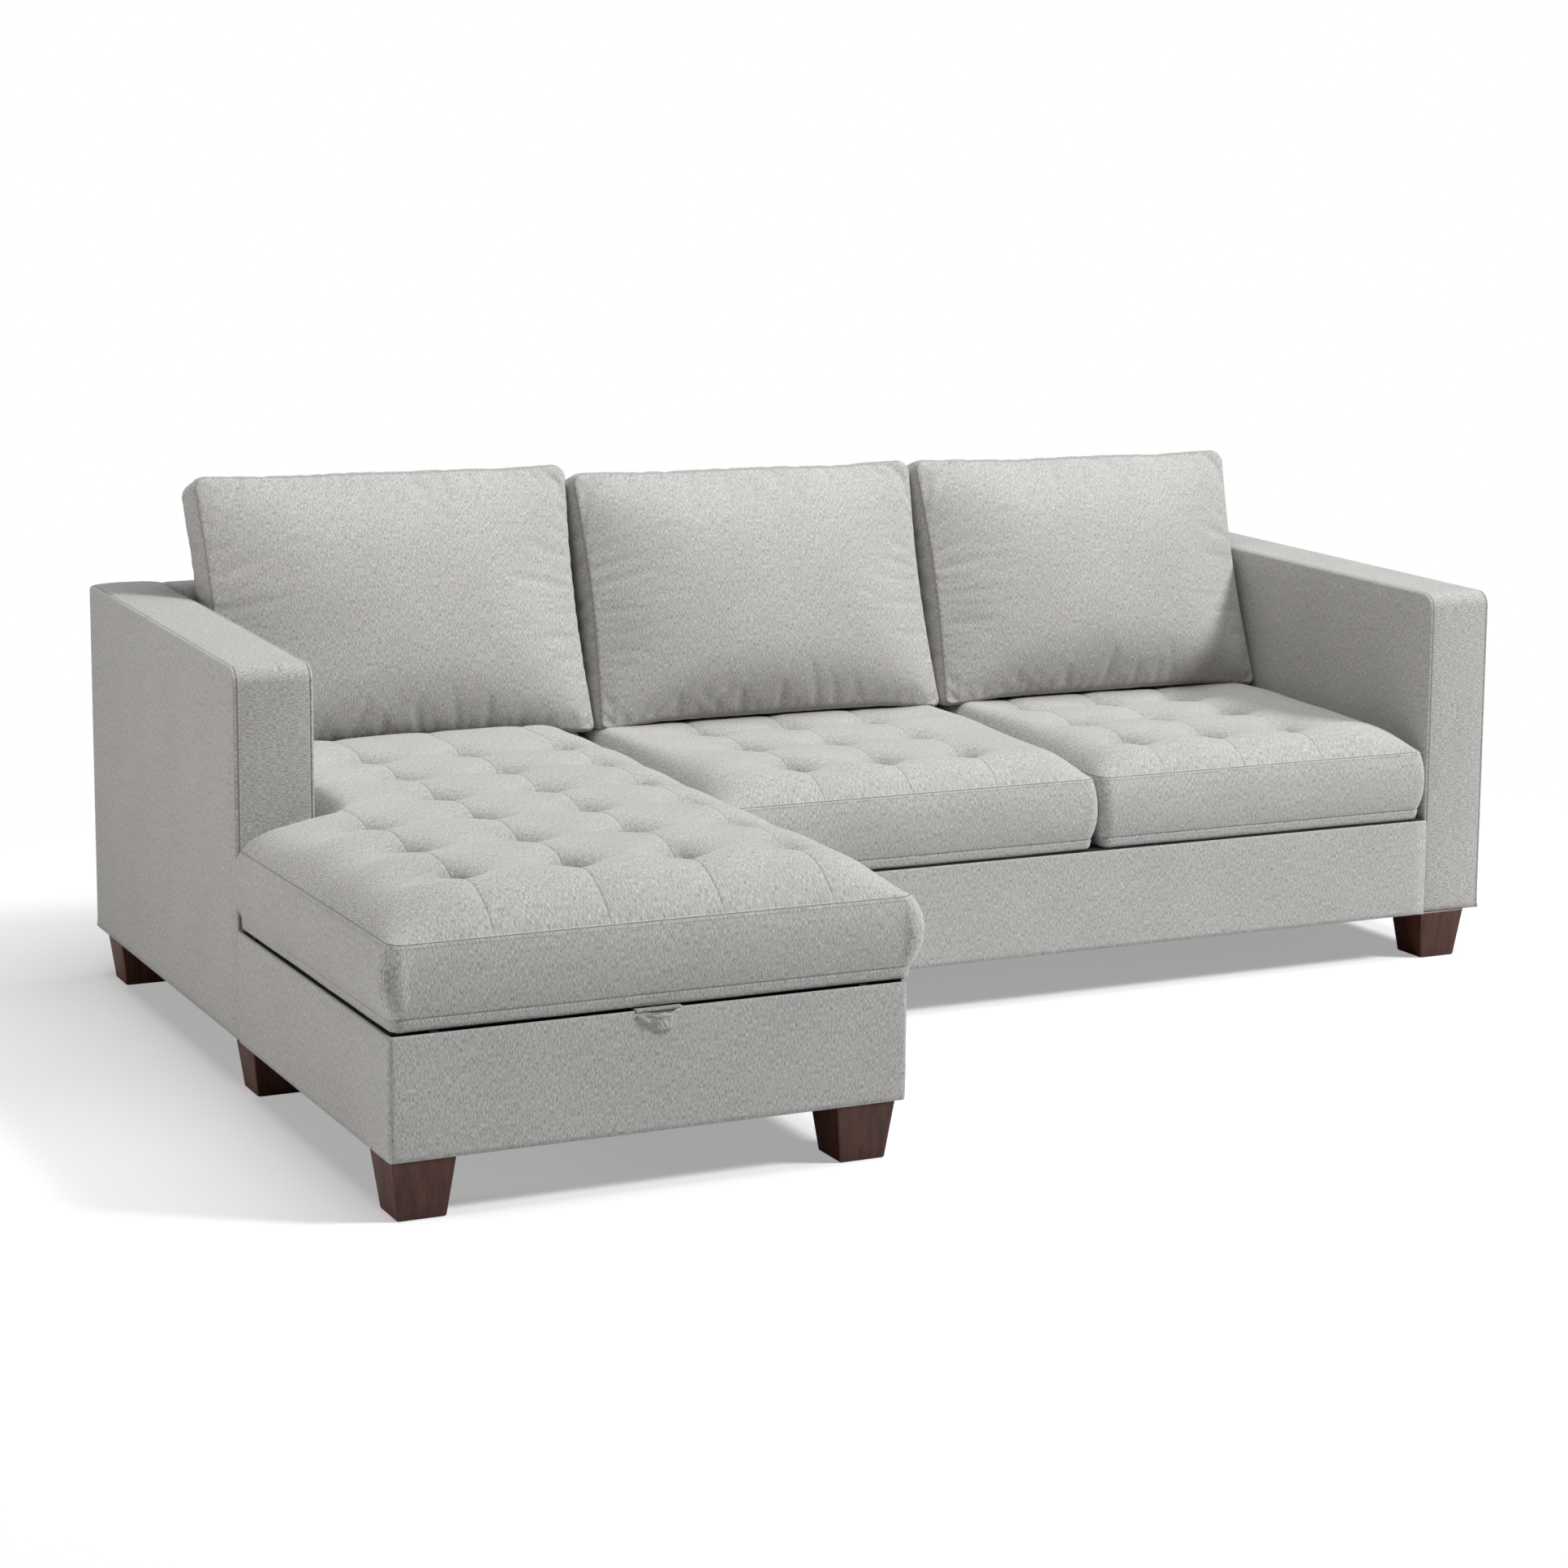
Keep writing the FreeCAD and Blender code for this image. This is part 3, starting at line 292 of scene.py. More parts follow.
black, white = (0, 0, 0, 1), (1, 1, 1, 1)

clothLook = {
    "paleThread": (0.68, 0.668, 0.646, 1),
    "darkThread": (0.13, 0.121, 0.111, 1),
    "warmThread": (0.345, 0.327, 0.305, 1),
    "streak": (760.0, 170.0, 1.0),  # threads across and along, per metre
    "broadStreak": (340.0, 60.0, 1.0),
    "evenShare": 0.36,
    "patch": (9.0, 7.0, 1.0),
    "patchTone": (0.94, 0.94, 0.945, 1),
    # the cloth's colour at full painted shade, in sewn lines, tuft pockets and folds
    "paintedShadeTone": (0.34, 0.33, 0.32, 1),
    "bump": 0.5,
    "bumpDepth": 0.0006,
    "roughness": 0.93,
}


def makeCloth(name, look):
    # heathered cloth: pale and dark yarns in fine streaks along the warp, with a soft nap
    material, tree, shader = newMaterial(name)
    uv = addNode(tree, "ShaderNodeUVMap", uv_map="clothUv").outputs["UV"]
    fine = stretchedNoise(tree, uv, look["streak"], 2.0, 0.6)
    broad = stretchedNoise(tree, uv, look["broadStreak"], 2.0, 0.55)
    patch = stretchedNoise(tree, uv, look["patch"], 2.0, 0.5)
    fineTone = ramp(tree, fine, [(0.30, black), (0.72, white)])
    broadTone = ramp(tree, broad, [(0.28, black), (0.74, white)])
    yarn = mixed(tree, "MIX", fineTone, look["darkThread"], look["paleThread"])
    wide = mixed(tree, "MIX", broadTone, look["warmThread"], look["paleThread"])
    blend = mixed(tree, "MIX", look["evenShare"], yarn, wide)
    shade = ramp(tree, patch, [(0.3, look["patchTone"]), (0.7, white)])
    # painted shade: the seamShade attribute darkens the cloth in sewn lines, tuft pockets and folds
    seam = addNode(tree, "ShaderNodeAttribute", attribute_name="seamShade").outputs["Fac"]
    paintedShadeTone = ramp(tree, seam, [(0.05, white), (1.0, look["paintedShadeTone"])])
    toned = mixed(tree, "MULTIPLY", 1.0, blend, shade)
    setInputs(tree, shader, {"Base Color": mixed(tree, "MULTIPLY", 1.0, toned, paintedShadeTone),
                             "Normal": bumped(tree, fine, look["bump"], look["bumpDepth"]),
                             "Roughness": look["roughness"], "Specular IOR Level": 0.2,
                             "Sheen Weight": 0.25, "Sheen Roughness": 0.5})
    return material


cloth = makeCloth("heatheredCloth", clothLook)

thread, tree, shader = newMaterial("stitchThread")
setInputs(tree, shader, {"Base Color": (0.531, 0.520, 0.499, 1), "Roughness": 0.93, "Specular IOR Level": 0.2})

woodLook = {
    "dark": (0.034, 0.0095, 0.0055, 1),
    "light": (0.105, 0.034, 0.021, 1),
    "grain": (90.0, 90.0, 7.0),
    "pores": (900.0, 900.0, 40.0),
    "roughness": 0.42,
}


def makeStainedWood(name, look):
    # dark stained wood: long noise streaks along Z, with a little gloss
    material, tree, shader = newMaterial(name)
    place = objectPlace(tree)
    grain = stretchedNoise(tree, place, look["grain"], 5.0, 0.6)
    pores = stretchedNoise(tree, place, look["pores"], 2.0, 0.5)
    tone = ramp(tree, grain, [(0.3, look["dark"]), (0.72, look["light"])])
    poreTone = ramp(tree, pores, [(0.35, (0.55, 0.55, 0.55, 1)), (0.5, white)])
    setInputs(tree, shader, {"Base Color": mixed(tree, "MULTIPLY", 0.7, tone, poreTone),
                             "Normal": bumped(tree, pores, 0.08, 0.0005),
                             "Roughness": look["roughness"], "Specular IOR Level": 0.35,
                             "Coat Weight": 0.08, "Coat Roughness": 0.25})
    return material


stainedWood = makeStainedWood("espressoWood", woodLook)


def makeBoard(name, dark, light, stretch, roughness):
    # raw timber or plywood: streaks along the board's length on Object coordinates
    material, tree, shader = newMaterial(name)
    place = objectPlace(tree)
    grain = stretchedNoise(tree, place, stretch, 6.0, 0.62)
    speck = stretchedNoise(tree, place, tuple(v * 9 for v in stretch), 2.0, 0.5)
    tone = ramp(tree, grain, [(0.28, dark), (0.7, light)])
    speckTone = ramp(tree, speck, [(0.3, (0.86, 0.84, 0.8, 1)), (0.6, white)])
    setInputs(tree, shader, {"Base Color": mixed(tree, "MULTIPLY", 0.6, tone, speckTone),
                             "Normal": bumped(tree, grain, 0.15, 0.0008), "Roughness": roughness})
    return material


timber = makeBoard("sawnTimber", (0.42, 0.26, 0.13, 1), (0.63, 0.45, 0.27, 1), (12.0, 60.0, 60.0), 0.7)
plywood = makeBoard("birchPly", (0.5, 0.36, 0.21, 1), (0.66, 0.51, 0.33, 1), (8.0, 45.0, 45.0), 0.6)
# near-black board: painted shadow, so the gap under the lid reads dark
shadowPly = makeBoard("paintedShadowPly", (0.013, 0.012, 0.012, 1), (0.03, 0.028, 0.027, 1), (8.0, 45.0, 45.0), 0.8)


def makeMetal(name, colour, metallic, roughness, scratch):
    # metal with fine wear: noise moves the roughness and the colour a little
    material, tree, shader = newMaterial(name)
    wear = stretchedNoise(tree, objectPlace(tree), (160.0, 160.0, 160.0), 5.0, 0.65)
    worn = tuple(min(1.0, v * scratch) for v in colour[:3]) + (1,)
    spread = addNode(tree, "ShaderNodeMapRange", {"Value": wear, "To Min": roughness * 0.8, "To Max": roughness * 1.3})
    setInputs(tree, shader, {"Base Color": ramp(tree, wear, [(0.35, colour), (0.75, worn)]),
                             "Roughness": spread.outputs["Result"], "Metallic": metallic})
    return material


blackPaint = makeMetal("blackPaint", (0.02, 0.02, 0.022, 1), 0.0, 0.42, 1.8)
brightSteel = makeMetal("zincSteel", (0.55, 0.55, 0.57, 1), 1.0, 0.3, 1.25)
rubber = makeMetal("bumperRubber", (0.018, 0.018, 0.018, 1), 0.0, 0.75, 1.5)


def makeThinCloth(name, dark, light, pitch):
    # thin woven or felted cloth: crossed bands at the thread's pitch on Object coordinates
    material, tree, shader = newMaterial(name)
    place = objectPlace(tree)
    weave = addNode(tree, "ShaderNodeTexChecker", {"Vector": place, "Scale": 1.0 / pitch,
                                                   "Color1": dark, "Color2": light}).outputs["Color"]
    fuzz = stretchedNoise(tree, place, (300.0, 300.0, 300.0), 4.0, 0.6)
    fuzzTone = ramp(tree, fuzz, [(0.3, (0.7, 0.7, 0.7, 1)), (0.7, white)])
    setInputs(tree, shader, {"Base Color": mixed(tree, "MULTIPLY", 1.0, weave, fuzzTone), "Roughness": 0.95})
    return material


blackCloth = makeThinCloth("blackLining", (0.012, 0.012, 0.013, 1), (0.022, 0.022, 0.024, 1), 0.002)
webbing = makeThinCloth("elasticWebbing", (0.06, 0.06, 0.06, 1), (0.16, 0.16, 0.16, 1), 0.005)

slotMaterials = {
    "upholstery_fabric": cloth,
    "frame_timber": timber,
    "plywood": plywood,
    "webbing": webbing,
    "black_cloth": blackCloth,
    "painted_steel": blackPaint,
    "bright_steel": brightSteel,
    "rubber": rubber,
    "dark_wood": stainedWood,
}
for part in frame["record"]["subparts"]:
    node = frame["nodes"][part["node"]]
    # storage and lid boards take the near-black board, a painted shadow in the gap under the lid
    underLidShadow = part["node"].startswith(("storage_", "lid_board")) and part["material_slot"] == "plywood"
    node.data.materials.clear()
    node.data.materials.append(shadowPly if underLidShadow else slotMaterials[part["material_slot"]])
print("materials made:", len(bpy.data.materials))


# Sizes that several pieces share, in metres

sofa = {
    "left": -1.150,
    "right": 1.150,
    "armWidth": 0.128,
    "armFront": -0.072,
    "armInner": 1.022,
    "back": 0.781,
    "chaiseFront": -0.769,
    "chaiseRight": -0.381,
    "backFront": 0.646,
    "railFront": -0.081,
    "wingRear": -0.077,
    "lidRear": 0.454,
    "underside": 0.085,
    "seam": 0.378,
    "restHeight": 0.4298,
}


# Stitches: short rounded rods laid along a line on the cloth

stitchLook = {
    "pitch": 0.0062,
    "length": 0.0044,
    "radius": 0.00065,
    "ringAt": np.array([-0.5, -0.3, 0.3, 0.5]),  # shares of the length and of the radius
    "ringSize": np.array([0.45, 1.0, 1.0, 0.45]),
}


def sew(name, lines, body):
    # each line is (points, outward normals); a stitch is four rings of six points, blunt at both ends
    angle = np.arange(6) * np.pi / 3
    pitch, ringSize = stitchLook["pitch"], stitchLook["ringSize"] * stitchLook["radius"]
    shells = []
    for points, normals in lines:
        run = runLength(points)
        places = np.arange(pitch, run[-1] - pitch, pitch)
        if len(places) < 2:
            continue
        centre = readAt(places, run, points)
        ahead = unit(readAt(places + 0.002, run, points) - centre)
        up = unit(readAt(places, run, normals))
        aside = np.cross(ahead, up)
        wheel = np.cos(angle)[None, :, None] * up[:, None, :] + np.sin(angle)[None, :, None] * aside[:, None, :]
        offset = stitchLook["ringAt"][None, :, None, None] * stitchLook["length"] * ahead[:, None, None, :]
        shells.append(centre[:, None, None, :] + offset + wheel[:, None] * ringSize[None, :, None, None])
    rings = np.concatenate(shells)
    index = np.arange(len(rings) * 24).reshape(-1, 4, 6)
    turned = np.roll(index, -1, axis=2)
    walls = np.stack([index[:, :-1], turned[:, :-1], turned[:, 1:], index[:, 1:]], axis=-1).reshape(-1, 4)
    ends = np.concatenate([index[:, 0, ::-1], index[:, -1]])
    mesh = bpy.data.meshes.new(name)
    mesh.from_pydata(rings.reshape(-1, 3).tolist(), [], walls.tolist() + ends.tolist())
    mesh.shade_smooth()
    return dress(addObject(name, mesh), body, thread)


# Tufted lid and seat cushions

def crownShare(distance, reach, power=4):
    # 1 - (1 - d/reach)^power: steep at the seam, level beyond the reach
    fall = 1.0 - np.clip(distance, 0.0, reach) / reach
    return 1.0 - fall ** power


def tuftDips(x, y, shape, look):
    # a sewn line down each column in a shallow valley, a soft valley along each row, and at each tuft
    # a hollow, steeper towards the front, with a deep pleat whose front wall is almost upright
    columnDip, rowDip, tuftDip, line, shade = np.zeros((5,) + x.shape)
    for column in shape["columns"]:
        across = np.abs(x - column)
        sewn = shape["sewn"](column, y)
        columnDip = np.maximum(columnDip, look["valley"] * bell(across, look["valleyWidth"], 1.4) * sewn)
        line = np.maximum(line, bell(across, look["lineWidth"]) * sewn)
    inside = smoothStep((np.minimum(x - shape["left"], shape["right"] - x) - 0.03) / 0.09)
    for row in shape["rows"]:
        along = y - row
        width = np.where(along > 0, look["rowFar"], look["rowNear"])
        rowDip = np.maximum(rowDip, look["rowValley"] * bell(np.abs(along), width, 1.5) * inside)
    for number, column in enumerate(shape["columns"]):
        for row in shape["rows"]:
            if not shape["hasTuft"](column, row):
                continue
            wander = 0.14 * math.sin(number * 5.1 + row * 37)  # no two tufts are pulled quite alike
            across = x - column + wander * (y - row)
            along = y - row + wander * (x - column)
            size = 1.0 + 0.12 * math.sin(number * 2.3 + row * 23)
            width = np.where(along > 0, look["hollowFar"], look["hollowNear"])
            pocket = bell(np.hypot(across / look["hollowAcross"], along / width), 1.0, look["cone"])
            broad = look["broad"] * bell(np.hypot(across, along), look["broadReach"])
            tuftDip = np.maximum(tuftDip, size * (look["hollow"] * pocket + broad))
            front = smoothStep((along + look["pleatWall"]) / look["pleatWall"])
            pleat = np.exp(-(np.abs(across) / look["pleatAcross"]) ** 3
                           - np.maximum(along, 0) / look["pleatFar"]) * front
            tuftDip = tuftDip + size * look["pleat"] * pleat
            # painted shade in each pleat's crease and each tuft's pocket
            shade = np.maximum.reduce([shade, look["pleatShade"] * pleat, look["pocketShade"] * pocket])
    depth = np.maximum(columnDip, rowDip) + tuftDip
    # painted shade along the sewn column lines too, fading inside the tufts
    return depth, line, np.maximum(shade, line * np.exp(-tuftDip / 0.006) * look["lineShade"])


def wallProfile(shape):
    # side of a box cushion from its top seam to its foot, as columns of shares: height, bulge of the upper panel,
    # turn of the skirt, and nearness to the upper and the lower seam
    seam, band, bottom = shape["seam"], shape["band"], shape["bottom"]
    upper = linesWithDetail(0.0, 1.0, (0.0, 1.0), 0.009, 0.032, 0.05)
    lower = np.linspace(0.06, 1.0, 14)
    z = np.concatenate([seam + (band - seam) * upper, band + (bottom - band) * lower])
    bulge = np.concatenate([1 - np.abs(2 * upper - 1) ** 2.3, 0.0 * lower])
    turn = np.concatenate([0.0 * upper, 1 - np.sqrt(np.clip(1 - lower ** 2.6, 0, 1))])
    return [share[:, None] for share in (z, bulge, turn, bell(z - seam, 0.0014), bell(z - band, 0.0013))]


def boxCushion(name, shape, look):
    # a crowned top over a rectangle, or over an L where there is a notch, with walls round its edge and a flat foot
    left, right, front, rear = (shape[key] for key in ("left", "right", "front", "rear"))
    notch = shape.get("notch", ())
    edges, ends = [left, right, *notch[:1]], [front, rear, *notch[1:]]
    edges += [column + way * look["fine"] * 0.6 for column in shape["columns"] for way in (-1, 0, 1)]
    detail = (look["fine"], look["coarse"], look["detailReach"])
    xs = linesWithDetail(left, right, edges, *detail, fixed=edges[2:])
    ys = linesWithDetail(front, rear, list(shape["rows"]) + ends, *detail, fixed=ends[2:])
    x, y = np.meshgrid(xs, ys)
    lastRow, lastColumn = len(ys) - 1, len(xs) - 1
    keep = np.ones((lastRow, lastColumn), bool)
    path = [(0, 0), (0, lastColumn), (lastRow, lastColumn), (lastRow, 0)]
    corners = [(left, front, 1, 1), (right, front, -1, 1), (right, rear, -1, -1), (left, rear, 1, -1)]
    if notch:
        column, row = int(np.argmin(np.abs(xs - notch[0]))), int(np.argmin(np.abs(ys - notch[1])))
        keep[row:, :column] = False
        path[3:] = [(lastRow, column), (row, column), (row, 0)]
        corners[3:] = [(notch[0], rear, 1, -1), (left, notch[1], 1, -1)]
    edge = loopThrough(path)
    z, shade = shape["height"](x, y)
    flat = pairs(x, y)
    radii = {1: look["frontRadius"], -1: look["rearRadius"]}
    x, y = roundCorners(x, y, [corner + (radii[corner[3]],) for corner in corners])
    z[edge] = shape["seam"]
    # painted shade along the top seam
    shade[edge] = look["seamShade"]
    top = np.stack([x, y, z], axis=-1)
    ring = top[edge][:, :2]
    normal = outwardNormals(ring)
    level, bulge, turn, topSeam, bandSeam = wallProfile(shape)
    # nearness to the top seam and, on walls facing the front, the band seam: it sinks the groove and sets the painted
    # shade
    seams = np.maximum(topSeam, 0.8 * bandSeam * smoothStep((-normal[:, 1] - 0.5) / 0.3))
    skirt = look["skirt"] * (1 - shape["sideSkirt"] * np.abs(normal[:, 0]))
    run = runLength(closeRing(ring))
    uneven = ripple(run[:-1], level, 0.21, shape["seed"]) * look["uneven"] * bulge
    sag = ripple(run[:-1], 0.0, 0.30, shape["seed"] + 2) * look["hemWave"] * turn
    offset = bulge * shape["swell"](ring, normal) + uneven - turn * skirt - seams * look["seamGroove"]
    wall = addAxis(ring + normal * offset[..., None], level + np.abs(sag))
    wall[0] = top[edge]
    foot = wall[-1]
    outward = addAxis(normal, 0.0)
    tuckedIn = foot - outward * 0.004
    inside = tuckedIn - outward * 0.003
    inside[:, 2] = shape["bottom"] + shape["hollow"]
    wall, outward = closeRing(wall, 1), closeRing(outward)
    patches = [{"points": top, "uv": flat, "keep": keep, "shade": shade},
               {"points": wall, "uv": pairs(run, level), "shade": closeRing(seams, 1) * look["seamShade"]},
               {"points": closeRing(np.stack([foot, tuckedIn, inside]), 1),
                "uv": pairs(run, np.array([0.0, 0.004, 0.007])[:, None])}]
    visible = (outward[:, 1] < -0.3) | (wall[0, :, 1] < shape["stitchRear"])
    lines = []
    for height in (shape["seam"] - 0.0045, shape["band"] - 0.0035):
        line = wall[np.argmin(np.abs(level - height))] + outward * 0.0003
        lines.append((line[visible], outward[visible]))
    return buildMesh(name, patches, lids=[inside]), lines


cushionLook = {
    "fine": 0.0017,
    "coarse": 0.0080,
    "detailReach": 0.017,
    "frontRadius": 0.021,
    "rearRadius": 0.012,
    "seamGroove": 0.0016,
    # painted shade in the seams
    "seamShade": 0.6,
    "skirt": 0.011,
    "uneven": 0.0012,
    "hemWave": 0.0012,
}
# the lineShade, pocketShade and pleatShade entries are painted shade
tuftLook = {
    "valley": 0.0028,
    "valleyWidth": 0.018,
    "lineWidth": 0.0012,
    "lineDepth": 0.0012,
    "lineShade": 0.4,
    "rowValley": 0.0050,
    "rowNear": 0.013,
    "rowFar": 0.046,
    "broad": 0.0072,
    "broadReach": 0.048,
    "hollow": 0.0250,
    "hollowAcross": 0.027,
    "hollowNear": 0.014,
    "hollowFar": 0.036,
    "pocketShade": 0.70,
    "cone": 1.30,
    "pleat": 0.0155,
    "pleatAcross": 0.0150,
    "pleatWall": 0.0050,
    "pleatFar": 0.020,
    "pleatShade": 0.55,
}


def tuftedTop(shape):
    # seam height + crown·share(sides)·share(front) - dips, which fade out towards the seams
    def height(x, y):
        left, right, front, rear = (shape[key] for key in ("left", "right", "front", "rear"))
        toRear = smoothStep((y - shape["fullFrom"]) / shape["fullRun"])
        rightReach = shape["sideReach"] + (shape["rearSideReach"] - shape["sideReach"]) * toRear
        leftReach = shape["sideReach"] + (shape["rearLeftReach"] - shape["sideReach"]) * toRear
        across = np.minimum(crownShare(x - left, leftReach), crownShare(right - x, rightReach))
        along = crownShare(y - front, shape["frontReach"], shape["frontPower"])
        edge = np.minimum.reduce([x - left, right - x, y - front, rear - y])
        if shape.get("notch"):
            notchX, notchY = shape["notch"]
            fromSide, fromWing = np.maximum(x - notchX, 0.0), np.maximum(notchY - y, 0.0)
            fromArm = np.hypot(fromSide / shape["innerReach"], fromWing / shape["wingReach"])
            across = np.minimum(across, crownShare(fromArm, 1.0))
            edge = np.minimum(edge, np.hypot(fromSide, fromWing))
            inWing = smoothStep((notchX + 0.075 - x) / 0.15) * smoothStep((y - notchY + 0.26) / 0.24)
            along = along * (1.0 - shape["wingDrop"] * inWing)
        roll = shape["rearRoll"] * smoothStep((y - rear + shape["rollLength"]) / shape["rollLength"])
        level = across * along
        dips, line, shade = tuftDips(x, y, shape, tuftLook)
        fade = np.minimum(1.0, level * 1.35)
        soft = ripple(x, y, 0.19, shape["seed"] + 4) * 0.0016 * np.minimum(1.0, level * 1.5)
        lip = 0.003 * (1 - bell(np.maximum(edge, 0), 0.006, 1)) - 0.003
        z = (shape["seam"] + shape["crown"] * level - dips * fade - tuftLook["lineDepth"] * line
             + soft + lip - roll * level)
        # the painted shade weakens where the crown falls to the seams
        return z, shade * np.minimum(1.0, level * 3 + 0.25)
    return height


def lidSwell(ring, normal):
    # the lid's sides bulge freely in front of the seats and the arm, and little beside them
    free = smoothStep((sofa["railFront"] - 0.012 - ring[:, 1]) / 0.03)
    right = np.clip(normal[:, 0], 0, 1) * (0.0058 + 0.0125 * free)
    left = np.clip(-normal[:, 0], 0, 1) * (0.006 + 0.008 * (ring[:, 0] < -1.1))
    front = np.clip(-normal[:, 1], 0, 1) * 0.0095
    return right + left + front + np.clip(normal[:, 1], 0, 1) * 0.002


def seatSwell(ring, normal):
    # 6 mm at the sides, 10 mm at the front
    return 0.0058 * np.abs(normal[:, 0]) + 0.0105 * np.clip(-normal[:, 1], 0, 1)


lidShape = {
    "left": -1.144,
    "right": -0.369,
    "front": -0.766,
    "rear": sofa["lidRear"],
    "notch": (-1.013, sofa["wingRear"]),
    "columns": (-0.999, -0.831, -0.663, -0.495),
    "rows": (-0.624, -0.452, -0.280, -0.108, 0.064, 0.236),
    "hasTuft": lambda column, row: column > -0.9 or row < -0.2,
    "sewn": lambda column, y: smoothStep((sofa["wingRear"] - 0.04 - y) / 0.03) if column < -0.9 else 1.0,
    "swell": lidSwell,
    "stitchRear": -0.3,
    "seam": sofa["seam"],
    "bottom": 0.257,
    "band": 0.277,
    "crown": 0.070,
    "sideReach": 0.245,
    "frontReach": 0.245,
    "innerReach": 0.060,
    "wingReach": 0.120,
    "wingDrop": 0.30,
    "frontPower": 4.5,
    "rearSideReach": 0.145,
    "rearLeftReach": 0.080,
    "fullFrom": -0.45,
    "fullRun": 0.75,
    "rearRoll": 0.020,
    "rollLength": 0.028,
    "sideSkirt": 0.65,
    "hollow": 0.002,
    "seed": 1.0,
}
lidShape["height"] = tuftedTop(lidShape)
lidPiece, lidLines = boxCushion("lidCushionCloth", lidShape, cushionLook)
upholster(lidPiece, "lid", ["lid_cushion"])
sew("lidStitches", lidLines, "lid")
print("lid cushion:", len(lidPiece.data.polygons), "faces")

seatShape = {
    "front": -0.078,
    "rear": 0.645,
    "rows": (0.026, 0.198, 0.370, 0.542),
    "hasTuft": lambda column, row: True,
    "sewn": lambda column, y: 1.0,
    "swell": seatSwell,
    "stitchRear": -0.070,
    "seam": sofa["seam"],
    "bottom": 0.2546,
    "band": 0.2745,
    "crown": 0.0500,
    "sideReach": 0.150,
    "frontReach": 0.210,
    "frontPower": 5.5,
    "rearSideReach": 0.055,
    "rearLeftReach": 0.055,
    "fullFrom": -0.05,
    "fullRun": 0.45,
    "rearRoll": 0.026,
    "rollLength": 0.040,
    "sideSkirt": 0.3,
    "hollow": 0.0,
}
seats = {
    "middleSeatCloth": dict(seatShape, left=-0.355, right=0.343, columns=(-0.166, -0.006, 0.154), seed=3.0,
                            node="seat_cushion_middle"),
    "rightSeatCloth": dict(seatShape, left=0.357, right=1.013, columns=(0.480, 0.640, 0.800), seed=5.0,
                           node="seat_cushion_right"),
}
seatLines = []
for name, shape in seats.items():
    shape["height"] = tuftedTop(shape)
    piece, lines = boxCushion(name, shape, cushionLook)
    upholster(piece, "base", [shape["node"]])
    seatLines += lines
sew("seatStitches", seatLines, "base")
print("seat cushions made")


# Loose back cushions

backCushion = {
    "width": 0.669,
    "height": {"left": 0.464, "middle": 0.448, "right": 0.447},
    "boxing": 0.086,
    "boxingSwell": 0.004,
    "frontCrown": 0.057,
    "rearCrown": 0.018,
    "drawIn": 0.010,
    "topSag": 0.005,
    "droop": 0.009,
    # painted shade in the seams
    "seamShade": 0.45,
    "footRadius": 0.014,
    "topRadius": 0.026,
    "lean": math.radians(17.0),
    "footY": 0.456,
    "footZ": 0.434,
    "edgeStep": 0.0032,
    "step": 0.0080,
    "centres": {"left": -0.680, "middle": 0.0, "right": 0.680},
    "frames": 20,
    "cap": 0.026,
    "sideLimit": 0.3381,
    "backrestTop": 0.690,
}
filling = {  # settings of the cloth simulation
    "quality": 6,
    "mass": 0.25,
    "tension_stiffness": 12.0,
    "compression_stiffness": 12.0,
    "shear_stiffness": 4.0,
    "bending_stiffness": 0.35,
    "air_damping": 3.0,
    "use_pressure": True,
    "uniform_pressure_force": 5.0,
    "shrink_min": -0.013,
    "shrink_max": -0.013,
    "vertex_group_mass": "seams",
}


def leanPlace(local, centre):
    # a cushion's own x, up and back turned into the sofa's place, leaning back from its foot
    lean = backCushion["lean"]
    x = local[..., 0] + centre
    y = backCushion["footY"] + local[..., 1] * math.sin(lean) + local[..., 2] * math.cos(lean)
    z = backCushion["footZ"] + local[..., 1] * math.cos(lean) - local[..., 2] * math.sin(lean)
    return np.stack([x, y, z], axis=-1)


def pillowFace(u, v):
    # 1 in the middle, 0 at the seams, fullest below the middle: (1 - |u|^2.3)^0.9·sin(pi·v^0.8)^0.52
    return (1 - np.abs(u) ** 2.3) ** 0.9 * np.clip(np.sin(np.pi * v ** 0.8), 0, 1) ** 0.52


